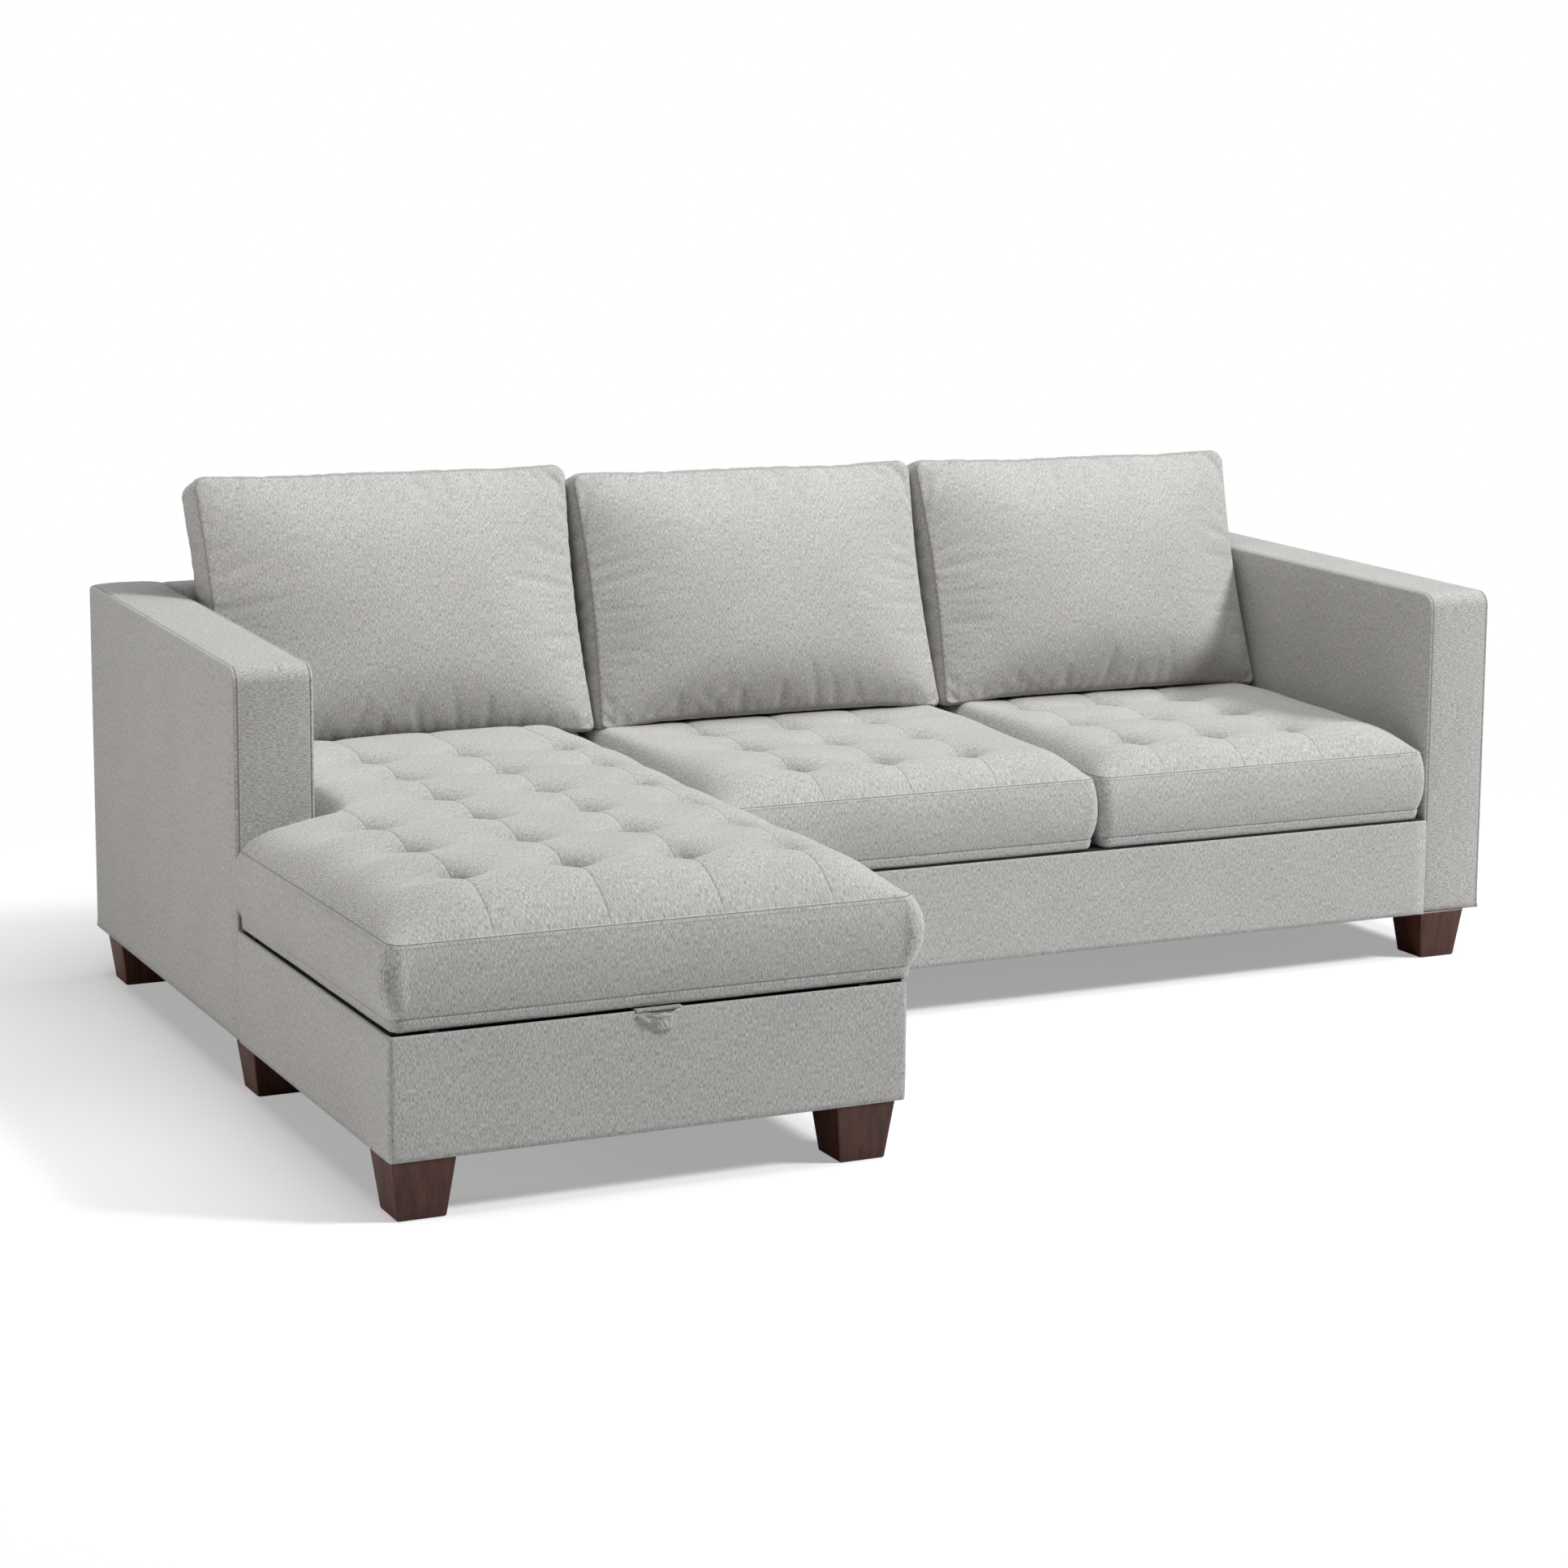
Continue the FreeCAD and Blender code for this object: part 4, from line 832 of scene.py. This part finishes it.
def makeBackCushion(side, centre, seed):
    # front and rear pillow faces joined by a boxed edge, all four sides drawn in between the corners
    size = backCushion
    half, tall, foot, top = size["width"] / 2, size["height"][side], size["footRadius"], size["topRadius"]
    xs = linesWithDetail(-half, half, (-half, half), size["edgeStep"], size["step"], 0.02)
    ups = linesWithDetail(0.0, tall, (0.0, tall), size["edgeStep"], size["step"], 0.02)
    x, up = np.meshgrid(xs, ups)
    u, v = x / half, up / tall
    edge = gridEdge(x)
    roundX, roundUp = roundCorners(x, up, [(-half, 0, 1, 1, foot), (half, 0, -1, 1, foot),
                                           (half, tall, -1, -1, top), (-half, tall, 1, -1, top)])
    drawnX = roundX * (1 - size["drawIn"] / half * np.sin(np.pi * v))
    drawnUp = roundUp - size["topSag"] * (1 - u ** 6) * smoothStep((v - 0.5) / 0.5)
    drawnUp = drawnUp + 0.0015 * ripple(x, seed, 0.20, seed) * smoothStep((v - 0.6) / 0.4)
    drawnUp = drawnUp - size["droop"] * smoothStep((np.abs(u) - 0.55) / 0.45) * (1 - v) ** 3
    swell = pillowFace(u, v)
    soft = ripple(x, up, 0.26, seed) * 0.0035 * swell
    front = np.stack([drawnX, drawnUp, -(size["frontCrown"] * swell + soft)], axis=-1)
    rear = np.stack([drawnX, drawnUp, size["boxing"] + size["rearCrown"] * swell], axis=-1)
    flat = front[edge][:, :2]
    depth = np.linspace(0.0, 1.0, 13)[:, None]
    out = size["boxingSwell"] * (1 - (2 * depth - 1) ** 4)
    wall = addAxis(flat + outwardNormals(flat) * out[..., None], depth * size["boxing"])
    wall[0], wall[-1] = front[edge], rear[edge]
    # painted shade along the seams round both faces and at both edges of the boxing
    rim = np.zeros(x.shape)
    rim[edge] = size["seamShade"]
    wallRim = np.where(np.isin(depth, (0.0, 1.0)), size["seamShade"], 0.0)
    faceUv, wallUv = pairs(x, up), pairs(depth * size["boxing"], runLength(closeRing(flat)))
    patches = [{"points": leanPlace(points, centre), "uv": uv, "shade": shade}
               for points, uv, shade in ((front, faceUv, rim), (rear, faceUv + 3.0, rim),
                                         (closeRing(wall, 1), wallUv, wallRim))]
    seams = leanPlace(np.concatenate([front[edge], rear[edge]]), centre)
    return buildMesh(side + "BackCushionCloth", patches), seams


def nearSeam(points, seams, reach):
    # weight 1 on a seam, falling to 0 at the reach, from the distance to the nearest seam point
    tree = KDTree(len(seams))
    for number, point in enumerate(seams):
        tree.insert(point, number)
    tree.balance()
    gap = np.array([tree.find(point)[2] for point in points])
    return np.clip(1.0 - gap / reach, 0.0, 1.0)


def puffUp(piece, seams):
    # the cover is filled by air pressure while its seams stay nearly still; the cloth grows a little,
    # so it puckers beside them. No point moves further than the cap
    size = backCushion
    before = meshPoints(piece.data)
    weight = nearSeam(before, seams, 0.006)
    group = piece.vertex_groups.new(name="seams")
    for number in np.nonzero(weight > 0.3)[0]:
        group.add([int(number)], 0.97, "REPLACE")
    modifier = piece.modifiers.new("filling", "CLOTH")
    for key, value in filling.items():
        setattr(modifier.settings, key, value)
    modifier.settings.effector_weights.gravity = 0.0
    modifier.collision_settings.use_collision = False
    modifier.point_cache.frame_start = 1
    modifier.point_cache.frame_end = size["frames"]
    for frameNumber in range(1, size["frames"] + 1):
        bpy.context.scene.frame_set(frameNumber)
    shaped = piece.evaluated_get(bpy.context.evaluated_depsgraph_get())
    move = meshPoints(shaped.data) - before
    far = np.linalg.norm(move, axis=1, keepdims=True)
    move = move * np.minimum(1.0, size["cap"] / np.maximum(far, 1e-9))
    piece.modifiers.remove(modifier)
    piece.vertex_groups.remove(group)
    setPoints(piece, before + move)
    print(piece.name, "filled, largest move", round(float(far.max()), 4))


def settle(piece, centre, seams):
    # the foot is pressed flat on the seat, the sides stay clear of the neighbours, and the seams sink in a little
    size = backCushion
    points = meshPoints(piece.data)
    sunk = nearSeam(points, seams, 0.0045)
    middle = leanPlace(np.array([[0.0, 0.228, size["boxing"] / 2]]), centre)
    points = points + unit(middle - points) * (sunk ** 2 * 0.0018)[:, None]
    aside = np.abs(points[:, 0] - centre) / (size["width"] / 2)
    rest, soft = sofa["restHeight"] + 0.0003 - size["droop"] * smoothStep((aside - 0.6) / 0.4), 0.006
    drop = points[:, 2] - rest
    points[:, 2] = rest + np.where(drop > soft, drop, soft * 0.5 * np.clip(1 + drop / soft, 0, 2) ** 2 / 2)
    points[:, 0] = centre + np.clip(points[:, 0] - centre, -size["sideLimit"], size["sideLimit"])
    behind = np.minimum(points[:, 1], sofa["backFront"] - 0.002)
    points[:, 1] = np.where(points[:, 2] < size["backrestTop"], behind, points[:, 1])
    setPoints(piece, points)


for number, (side, centre) in enumerate(backCushion["centres"].items()):
    piece, seams = makeBackCushion(side, centre, 7.0 + number)
    puffUp(piece, seams)
    settle(piece, centre, seams)
    rounding = piece.modifiers.new("rounding", "SUBSURF")
    rounding.levels = rounding.render_levels = 1
    upholster(piece, "back_cushion_" + side, ["back_cushion_" + side])
bpy.context.scene.frame_set(1)
print("back cushions made")


# Arms and back: an outline of heights and depths carried across the width, with padded sides

def sideOutline(front, rear, bottom, frontTop, rearTop, radii, counts):
    # four sides of an upright outline in (y, z), anticlockwise: bottom, rear, top, front.
    # the top side holds both rounded upper corners; opposite sides have equal counts of points
    across, upward = counts
    slope = (rearTop - frontTop) / (rear - front)
    tilt = math.atan(slope)
    frontRadius, rearRadius = radii
    arcs = []
    for place, radius, start, end, steps in ((front + frontRadius, frontRadius, math.pi, math.pi / 2 + tilt, 14),
                                             (rear - rearRadius, rearRadius, math.pi / 2 + tilt, 0.0, 10)):
        centre = np.array([place, frontTop + slope * (place - front) - radius / math.cos(tilt)])
        turn = np.linspace(start, end, steps)
        arcs.append(centre + radius * pairs(np.cos(turn), np.sin(turn)))
    line = np.concatenate(arcs)
    run = runLength(line)
    wanted = np.concatenate([run[:14], np.linspace(run[13], run[14], across)[1:-1], run[14:]])
    top = readAt(wanted, run, line)
    low = np.array([front, bottom]) + (wanted / run[-1])[:, None] * np.array([rear - front, 0.0])
    climb = np.linspace(0, 1, upward)[:, None]
    return {"bottom": low, "rear": low[-1:] + climb * (top[-1:] - low[-1:]),
            "top": top, "front": low[:1] + climb * (top[:1] - low[:1])}


def fillBetween(bottom, rear, top, front):
    # Coons patch: both pairs of sides blended, less the blend of the four corners
    run = runLength(bottom)
    u = (run / run[-1])[None, :, None]
    v = np.linspace(0, 1, front.shape[0])[:, None, None]
    updown = (1 - v) * bottom[None] + v * top[None]
    sideways = (1 - u) * front[:, None] + u * rear[:, None]
    corners = ((1 - u) * (1 - v) * bottom[0] + u * (1 - v) * bottom[-1] + (1 - u) * v * top[0] + u * v * top[-1])
    return updown + sideways - corners


def padSweep(name, sides, x0, x1, look):
    # the gusset runs round the outline as a low crown between two seams; each side panel rolls over the edge
    # in a quarter circle and swells a little in its middle
    loop = np.concatenate([sides["bottom"][:-1], sides["rear"][:-1],
                           sides["top"][::-1][:-1], sides["front"][::-1][:-1]])
    outline, normal = closeRing(loop), closeRing(outwardNormals(loop))
    run = runLength(outline)
    roll, width = look["roll"], x1 - x0
    gusset = linesWithDetail(roll, width - roll, (roll, width - roll), 0.0013, look["step"], 0.006)
    middle = (2 * gusset - width) / (width - 2 * roll)
    sewn = bell(gusset - roll, 0.0012) + bell(width - roll - gusset, 0.0012)
    rise = look["crown"] * (1 - np.abs(middle) ** 3) - look["groove"] * sewn
    angle = np.linspace(0, np.pi / 2, 15)
    edgeAcross = roll - roll * np.sin(angle)
    edgeRise = look["edgeDrop"] * (np.cos(angle) - 1) - look["groove"] * bell(angle, 0.25)
    aboveFoot = smoothStep((outline[:, 1] - outline[:, 1].min()) / 0.015)

    def lay(across, lift):
        # the outline at each x of `across`, pushed out by its lift, which fades at the foot
        flat = outline + normal * (lift[:, None] * aboveFoot)[..., None]
        x = np.broadcast_to(across[:, None], flat.shape[:2])
        return np.concatenate([x[..., None], flat], axis=-1)

    # painted shade along the gusset's two seams
    patches = [{"points": lay(x0 + gusset, rise), "uv": pairs(run, (x0 + gusset)[:, None]),
                "shade": sewn[:, None] * look["seamShade"]}]
    lines = []
    a, b = len(sides["bottom"]) - 1, len(sides["rear"]) - 1
    outward = np.concatenate([np.zeros((len(outline), 1)), normal], axis=1)
    for side, turn in ((x0, 1.0), (x1, -1.0)):
        rolled = lay(side + turn * edgeAcross, edgeRise)
        # painted shade where the side panel rolls into the seam
        patches.append({"points": rolled, "uv": pairs(run, side + turn * edgeAcross[:, None]),
                        "shade": look["seamShade"] * bell(angle, 0.22)[:, None]})
        rim = rolled[-1, :, 1:]
        face = fillBetween(rim[:a + 1], rim[a:a + b + 1], rim[a + b:2 * a + b + 1][::-1], rim[2 * a + b:][::-1])
        inset = np.linalg.norm(face[:, :, None, :] - rim[None, None, :, :], axis=-1).min(axis=-1)
        uneven = ripple(face[..., 0], face[..., 1], 0.33, look["seed"] + turn) * look["uneven"]
        faceX = side - turn * (look["sideSwell"] + uneven) * (1 - bell(inset, 0.012))
        patches.append({"points": np.concatenate([faceX[..., None], face], axis=-1), "uv": face})
        for place in look["stitchInsets"]:
            line = lay(np.array([side + turn * place]), np.array([0.0002]))[0]
            seen = line[:, 2] > sofa["underside"] + 0.004
            lines.append((line[seen], outward[seen]))
    return buildMesh(name, patches), lines


armLook = {
    "roll": 0.0060,
    "edgeDrop": 0.0055,
    "crown": 0.0028,
    "groove": 0.0010,
    # painted shade in the seams
    "seamShade": 0.8,
    "step": 0.009,
    "sideSwell": 0.0022,
    "uneven": 0.0007,
    "seed": 2.0,
    "stitchInsets": (0.0092,),
    "proud": 0.0022,  # the outer side stays this far inside the frame's width
    "frontTop": {"left": 0.650, "right": 0.654},
    "rearTop": 0.682,
}
armStarts = {"left": sofa["left"] + armLook["proud"], "right": sofa["right"] - sofa["armWidth"]}
for side, x0 in armStarts.items():
    armSides = sideOutline(sofa["armFront"], sofa["back"], sofa["underside"], armLook["frontTop"][side],
                           armLook["rearTop"], (0.025, 0.012), (90, 56))
    piece, lines = padSweep(side + "ArmCloth", armSides, x0, x0 + sofa["armWidth"] - armLook["proud"], armLook)
    upholster(piece, "base", ["arm_%s_cover" % side])
    sew(side + "ArmStitches", lines, "base")
print("arms made:", len(piece.data.polygons), "faces each")

backLook = dict(armLook, roll=0.005, edgeDrop=0.004, crown=0.0015, step=0.030, sideSwell=0.0, seed=4.0, stitchInsets=())
backSides = sideOutline(sofa["backFront"], sofa["back"], sofa["underside"], 0.681, 0.681, (0.026, 0.010), (16, 40))
for side, x0, x1 in (("left", -sofa["armInner"], sofa["chaiseRight"]),
                     ("right", sofa["chaiseRight"], sofa["armInner"])):
    piece = padSweep(side + "BackCloth", backSides, x0, x1, backLook)[0]
    upholster(piece, "base", ["back_%s_cover" % side])
print("back made")


# Upholstery of the storage box, the seat rail and the ledge

def skinAlong(name, path, profile):
    # a closed profile of (outward, height) points carried along an open path in plan, closed at both ends
    normal = rightOf(np.gradient(path, axis=0))
    profile = closeRing(profile)
    points = addAxis(path[:, None, :] + normal[:, None, :] * profile[None, :, :1], profile[None, :, 1])
    uv = pairs(runLength(path)[:, None], runLength(profile))
    return buildMesh(name, [{"points": points, "uv": uv}], lids=[points[0, :-1], points[-1, :-1]])


def wrapProfile(look, bottom, top):
    # upright section of padding over a board: flat outer face with a soft swell, half round over the rim
    thickness, round = look["thickness"], look["thickness"] / 2
    rise = np.linspace(0, 1, 22)
    face = pairs(look["swell"] * (1 - (2 * rise - 1) ** 4), bottom + (top - round - bottom) * rise)
    angle = np.linspace(0, np.pi, 11)[1:]
    over = pairs(-round + round * np.cos(angle), top - round + round * np.sin(angle))
    return np.concatenate([face, over, np.array([[-thickness, bottom]])])


def cornerPath(points, radius, step):
    # straight runs joined by arcs, for an open line in plan
    points = np.array(points, float)
    out = [points[:1]]
    t = np.linspace(0, np.pi / 2, 9)[:, None]
    for before, here, after in zip(points, points[1:], points[2:]):
        start, end = here + unit(before - here) * radius, here + unit(after - here) * radius
        centre = start + end - here
        out.append(centre + (start - centre) * np.cos(t) + (end - centre) * np.sin(t))
    line = np.concatenate(out + [points[-1:]])
    run = runLength(line)
    return readAt(np.unique(np.concatenate([run, np.arange(0, run[-1], step)])), run, line)


boxWrap = {
    "thickness": 0.0068,
    "swell": 0.0012,
    "cornerRadius": 0.008,
    "boxTop": 0.2556,
    "railTop": 0.2534,
}
boxPath = cornerPath([(sofa["left"] + 0.009, sofa["wingRear"] + 0.0006),
                      (sofa["left"], sofa["wingRear"]), (sofa["left"], sofa["chaiseFront"]),
                      (sofa["chaiseRight"], sofa["chaiseFront"]), (sofa["chaiseRight"], sofa["railFront"])],
                     boxWrap["cornerRadius"], 0.02)
railPath = pairs(np.linspace(sofa["chaiseRight"], sofa["armInner"], 60), sofa["railFront"])
for name, path, top, node in (("storageBoxCloth", boxPath, "boxTop", "storage_cover"),
                              ("seatRailCloth", railPath, "railTop", "front_rail_cover")):
    upholster(skinAlong(name, path, wrapProfile(boxWrap, sofa["underside"], boxWrap[top])), "base", [node])

ledgeShape = {
    "left": -1.019,
    "right": -0.363,
    "front": 0.457,
    "rear": 0.645,
    "columns": (),
    "rows": (),
    "swell": lambda ring, normal: 0.0 * ring[:, 0],
    "stitchRear": -1.0,
    "seam": 0.4045,
    "bottom": 0.262,
    "band": 0.272,
    "crown": 0.0250,
    "reach": 0.045,
    "sideSkirt": 0.0,
    "hollow": 0.0,
    "seed": 6.0,
}


def ledgeTop(x, y):
    # a low crown that levels off 45 mm in from each edge
    shape = ledgeShape
    edge = np.minimum.reduce([x - shape["left"], shape["right"] - x, y - shape["front"], shape["rear"] - y])
    return shape["seam"] + shape["crown"] * crownShare(edge, shape["reach"]), np.zeros(x.shape)


ledgeShape["height"] = ledgeTop
ledgeLook = dict(cushionLook, skirt=0.001, frontRadius=0.024, rearRadius=0.008, coarse=0.02, uneven=0.0, hemWave=0.0)
upholster(boxCushion("ledgeCloth", ledgeShape, ledgeLook)[0], "base", ["ledge_pad"])
print("box, rail and ledge covered")


# Pull tab

tabLook = {
    "middle": -0.7625,
    "topHalf": 0.030,
    "bottomLeft": 0.001,  # both from the middle, so the tab hangs askew
    "bottomRight": 0.020,
    "drop": 0.027,
    "rear": -0.7712,
    "thickness": 0.0030,
    "gape": 0.0062,
    "sag": 0.0040,
    "crease": 0.25,
    "top": 0.2546,
}


def makePullTab(name, size):
    # a folded strip with a rolled hem: its top gapes forward and sags between its ends, its sides run in to a
    # narrow foot, and an upright crease turns its right part away
    down = linesWithDetail(0.0, 1.0, (0.0, 0.18), 0.02, 0.06, 0.15)
    t, s = np.meshgrid(down, np.linspace(-1, 1, 41), indexing="ij")
    left = -size["topHalf"] + (size["bottomLeft"] + size["topHalf"]) * t ** 0.85
    right = size["topHalf"] + (size["bottomRight"] - size["topHalf"]) * t ** 0.7
    x = size["middle"] + (left + right) / 2 + (right - left) / 2 * s
    middle = 1 - s * s
    z = size["top"] - size["drop"] * t - size["sag"] * middle * (1 - t) + 0.0012 * np.sin(s * 9 + 1) * (1 - t) ** 3
    gape = size["gape"] * (1 - t) ** 1.4 * middle
    fold = bell(t - 0.21, 0.03)
    hem = 0.0014 * bell(t - 0.07, 0.07) - 0.0006 * fold
    turned = 0.0030 * np.clip((s - size["crease"]) / (1 - size["crease"]), 0, 1) * (1 - 0.3 * t)
    ruck = 0.0005 * np.sin(11 * t - 5 * s) * (1 - t) + 0.0004 * np.sin(s * 13 + 2)
    back = size["rear"] - 0.0010 * t - gape
    front = back - size["thickness"] * (1 - 0.2 * t) - hem + turned * 0.7 - ruck
    frontFace, backFace = np.stack([x, front, z], axis=-1), np.stack([x, back, z], axis=-1)
    rim, rimBack = frontFace[gridEdge(x)], backFace[gridEdge(x)]
    edge = closeRing(np.stack([rim, (rim + rimBack) / 2 + np.array([0, 0, 0.0006]), rimBack]), 1)
    # painted shade in the fold across the front face
    return buildMesh(name, [{"points": frontFace, "uv": pairs(x, z), "shade": fold * 0.5},
                            {"points": backFace, "uv": pairs(x, z)}, {"points": edge, "uv": edge[..., [0, 2]]}])


def clothCopy(name, node):
    # the same form as a CAD node, with cloth coordinates laid on it from the side it faces most
    mesh = frame["nodes"][node].data.copy()
    mesh.name = name
    corners = np.empty(len(mesh.loops), np.int32)
    mesh.loops.foreach_get("vertex_index", corners)
    points = meshPoints(mesh)[corners]
    layer = mesh.uv_layers.new(name="clothUv")
    layer.uv.foreach_set("vector", pairs(points[:, 0], points[:, 1] + points[:, 2]).astype(np.float32).ravel())
    return addObject(name, mesh)


upholster(makePullTab("pullTabCloth", tabLook), "pull_tab", ["pull_tab"])
upholster(clothCopy("tabAnchorCloth", "pull_tab_anchor"), "lid", ["pull_tab_anchor"])
print("pull tab made")


# Feet

footLook = {
    "top": 0.092,
    "bottom": 0.070,
    "height": 0.085,
    "edge": 0.0028,
    "chaise": ((-1.101, -0.720), (-0.443, -0.720), (-1.091, -0.060), (-0.443, -0.028),
               (-1.091, 0.707), (-0.443, 0.707)),
    "seat": ((-0.335, -0.028), (-0.335, 0.707), (1.068, -0.028), (1.068, 0.707)),
}


def footShape(centre, size):
    # square rings with rounded corners, from a small chamfer at the floor up to the wide top
    heights = np.array([0.0, 0.0, 0.0008, 0.002, 0.02, 0.04, 0.06, 0.08, size["height"], size["height"]])
    inset = np.array([0.030, 0.0020, 0.0006, 0.0, 0, 0, 0, 0, 0, 0.030])
    half = (size["bottom"] + (size["top"] - size["bottom"]) * heights / size["height"]) / 2 - inset
    round = np.minimum(size["edge"], half * 0.6)
    quarters = []
    for number, way in enumerate(((1, 1), (-1, 1), (-1, -1), (1, -1))):
        angle = np.linspace(0, np.pi / 2, 6) + number * np.pi / 2
        arc = pairs(np.cos(angle), np.sin(angle))
        quarters.append((half - round)[:, None, None] * np.array(way) + round[:, None, None] * arc)
    ring = closeRing(np.concatenate(quarters, axis=1), 1)
    points = addAxis(ring + np.array(centre), heights[:, None])
    return {"points": points, "uv": points[..., [0, 2]]}, points[0, :-1], points[-1, :-1]


for group in ("chaise", "seat"):
    shells = [footShape(centre, footLook) for centre in footLook[group]]
    piece = buildMesh(group + "FeetWood", [shell[0] for shell in shells],
                      lids=[ring for shell in shells for ring in shell[1:]])
    for polygon in piece.data.polygons:
        if len(polygon.vertices) > 4:
            polygon.use_smooth = False
    dress(piece, "base", stainedWood, [group + "_feet"])
print("feet made")


# Floor, lamps and camera

stage = {
    "half": 30.0,
    "colour": (0.78, 0.78, 0.78, 1),
    "glow": 0.35,
    "whiteFrom": 1.3,  # the floor runs out into plain white, as a paper sweep does
    "whiteTo": 2.5,
    "worldLight": 0.01,
}
floorMaterial, tree, shader = newMaterial("studioFloor")
setInputs(tree, shader, {"Base Color": stage["colour"], "Roughness": 0.9, "Specular IOR Level": 0.0})
seen = addNode(tree, "ShaderNodeLightPath").outputs["Is Camera Ray"]
lift = addNode(tree, "ShaderNodeMath", {0: seen, 1: stage["glow"]}, operation="MULTIPLY").outputs[0]
glow = addNode(tree, "ShaderNodeEmission", {"Color": white, "Strength": lift}).outputs["Emission"]
near = addNode(tree, "ShaderNodeAddShader", {0: shader.outputs["BSDF"], 1: glow}).outputs["Shader"]
far = addNode(tree, "ShaderNodeEmission", {"Color": white}).outputs["Emission"]
distance = addNode(tree, "ShaderNodeVectorMath", {0: objectPlace(tree)}, operation="LENGTH").outputs["Value"]
reach = addNode(tree, "ShaderNodeMapRange", {"Value": distance, "From Min": stage["whiteFrom"],
                                             "From Max": stage["whiteTo"]}, interpolation_type="SMOOTHSTEP")
share = addNode(tree, "ShaderNodeMath", {0: reach.outputs["Result"], 1: seen}, operation="MULTIPLY").outputs[0]
both = addNode(tree, "ShaderNodeMixShader", {"Fac": share, 1: near, 2: far}).outputs["Shader"]
setInputs(tree, tree.nodes["Material Output"], {"Surface": both})

floorMesh = bpy.data.meshes.new("studioFloor")
floorMesh.from_pydata([(x * stage["half"], y * stage["half"], 0) for x, y in ((-1, -1), (1, -1), (1, 1), (-1, 1))],
                      [], [(0, 1, 2, 3)])
floorMesh.materials.append(floorMaterial)
floor = addObject("studioFloor", floorMesh)

world = bpy.data.worlds.new("studioWorld")
bpy.context.scene.world = world
world.use_nodes = True
tree = world.node_tree
rays = addNode(tree, "ShaderNodeLightPath")
plain = addNode(tree, "ShaderNodeMath", {0: rays.outputs["Is Camera Ray"], 1: rays.outputs["Is Glossy Ray"]},
                operation="MAXIMUM").outputs[0]
level = addNode(tree, "ShaderNodeMapRange", {"Value": plain, "To Min": stage["worldLight"], "To Max": 1.0})
setInputs(tree, tree.nodes["Background"], {"Strength": level.outputs["Result"], "Color": white})

lamps = {
    "key": {"place": (7.2, -5.4, 8.0), "aim": (0.0, 0.0, 0.4), "size": (2.3, 2.3), "power": 1260.0,
            "colour": (0.972, 0.988, 1.0)},
    "overhead": {"place": (0.0, -0.2, 3.8), "aim": (0.0, 0.0, 0.3), "size": (4.6, 3.0), "power": 120.0,
                 "colour": (0.985, 0.993, 1.0)},
    "leftFill": {"place": (-4.0, 0.1, 0.52), "aim": (-1.0, 0.0, 0.35), "size": (1.8, 0.8), "power": 36.0,
                 "colour": (1.0, 0.98, 0.945)},
}
for name, lamp in lamps.items():
    data = bpy.data.lights.new(name, "AREA")
    data.shape = "RECTANGLE"
    data.size, data.size_y = lamp["size"]
    data.energy = lamp["power"]
    data.color = lamp["colour"]
    holder = addObject(name, data)
    holder.location = lamp["place"]
    holder.rotation_euler = (Vector(lamp["aim"]) - Vector(lamp["place"])).to_track_quat("-Z", "Y").to_euler()

view = {
    "place": (-2.5274, -4.7759, 1.3672),
    "yaw": math.radians(24.711),
    "pitch": math.radians(8.335),
    "roll": math.radians(0.181),
    "lens": 75.97,
    "shift": (0.045, -0.075),
}
cameraData = bpy.data.cameras.new("photoCamera")
cameraData.lens = view["lens"]
cameraData.sensor_width = 36.0
cameraData.shift_x, cameraData.shift_y = view["shift"]
cameraData.clip_start, cameraData.clip_end = 0.1, 100.0
camera = addObject("photoCamera", cameraData)
camera.location = view["place"]
level = math.cos(view["pitch"])
ahead = Vector((math.sin(view["yaw"]) * level, math.cos(view["yaw"]) * level, -math.sin(view["pitch"])))
camera.rotation_euler = (ahead.to_track_quat("-Z", "Y") @ Quaternion((0, 0, 1), view["roll"])).to_euler()
bpy.context.scene.camera = camera
bpy.context.scene.view_settings.view_transform = "Standard"
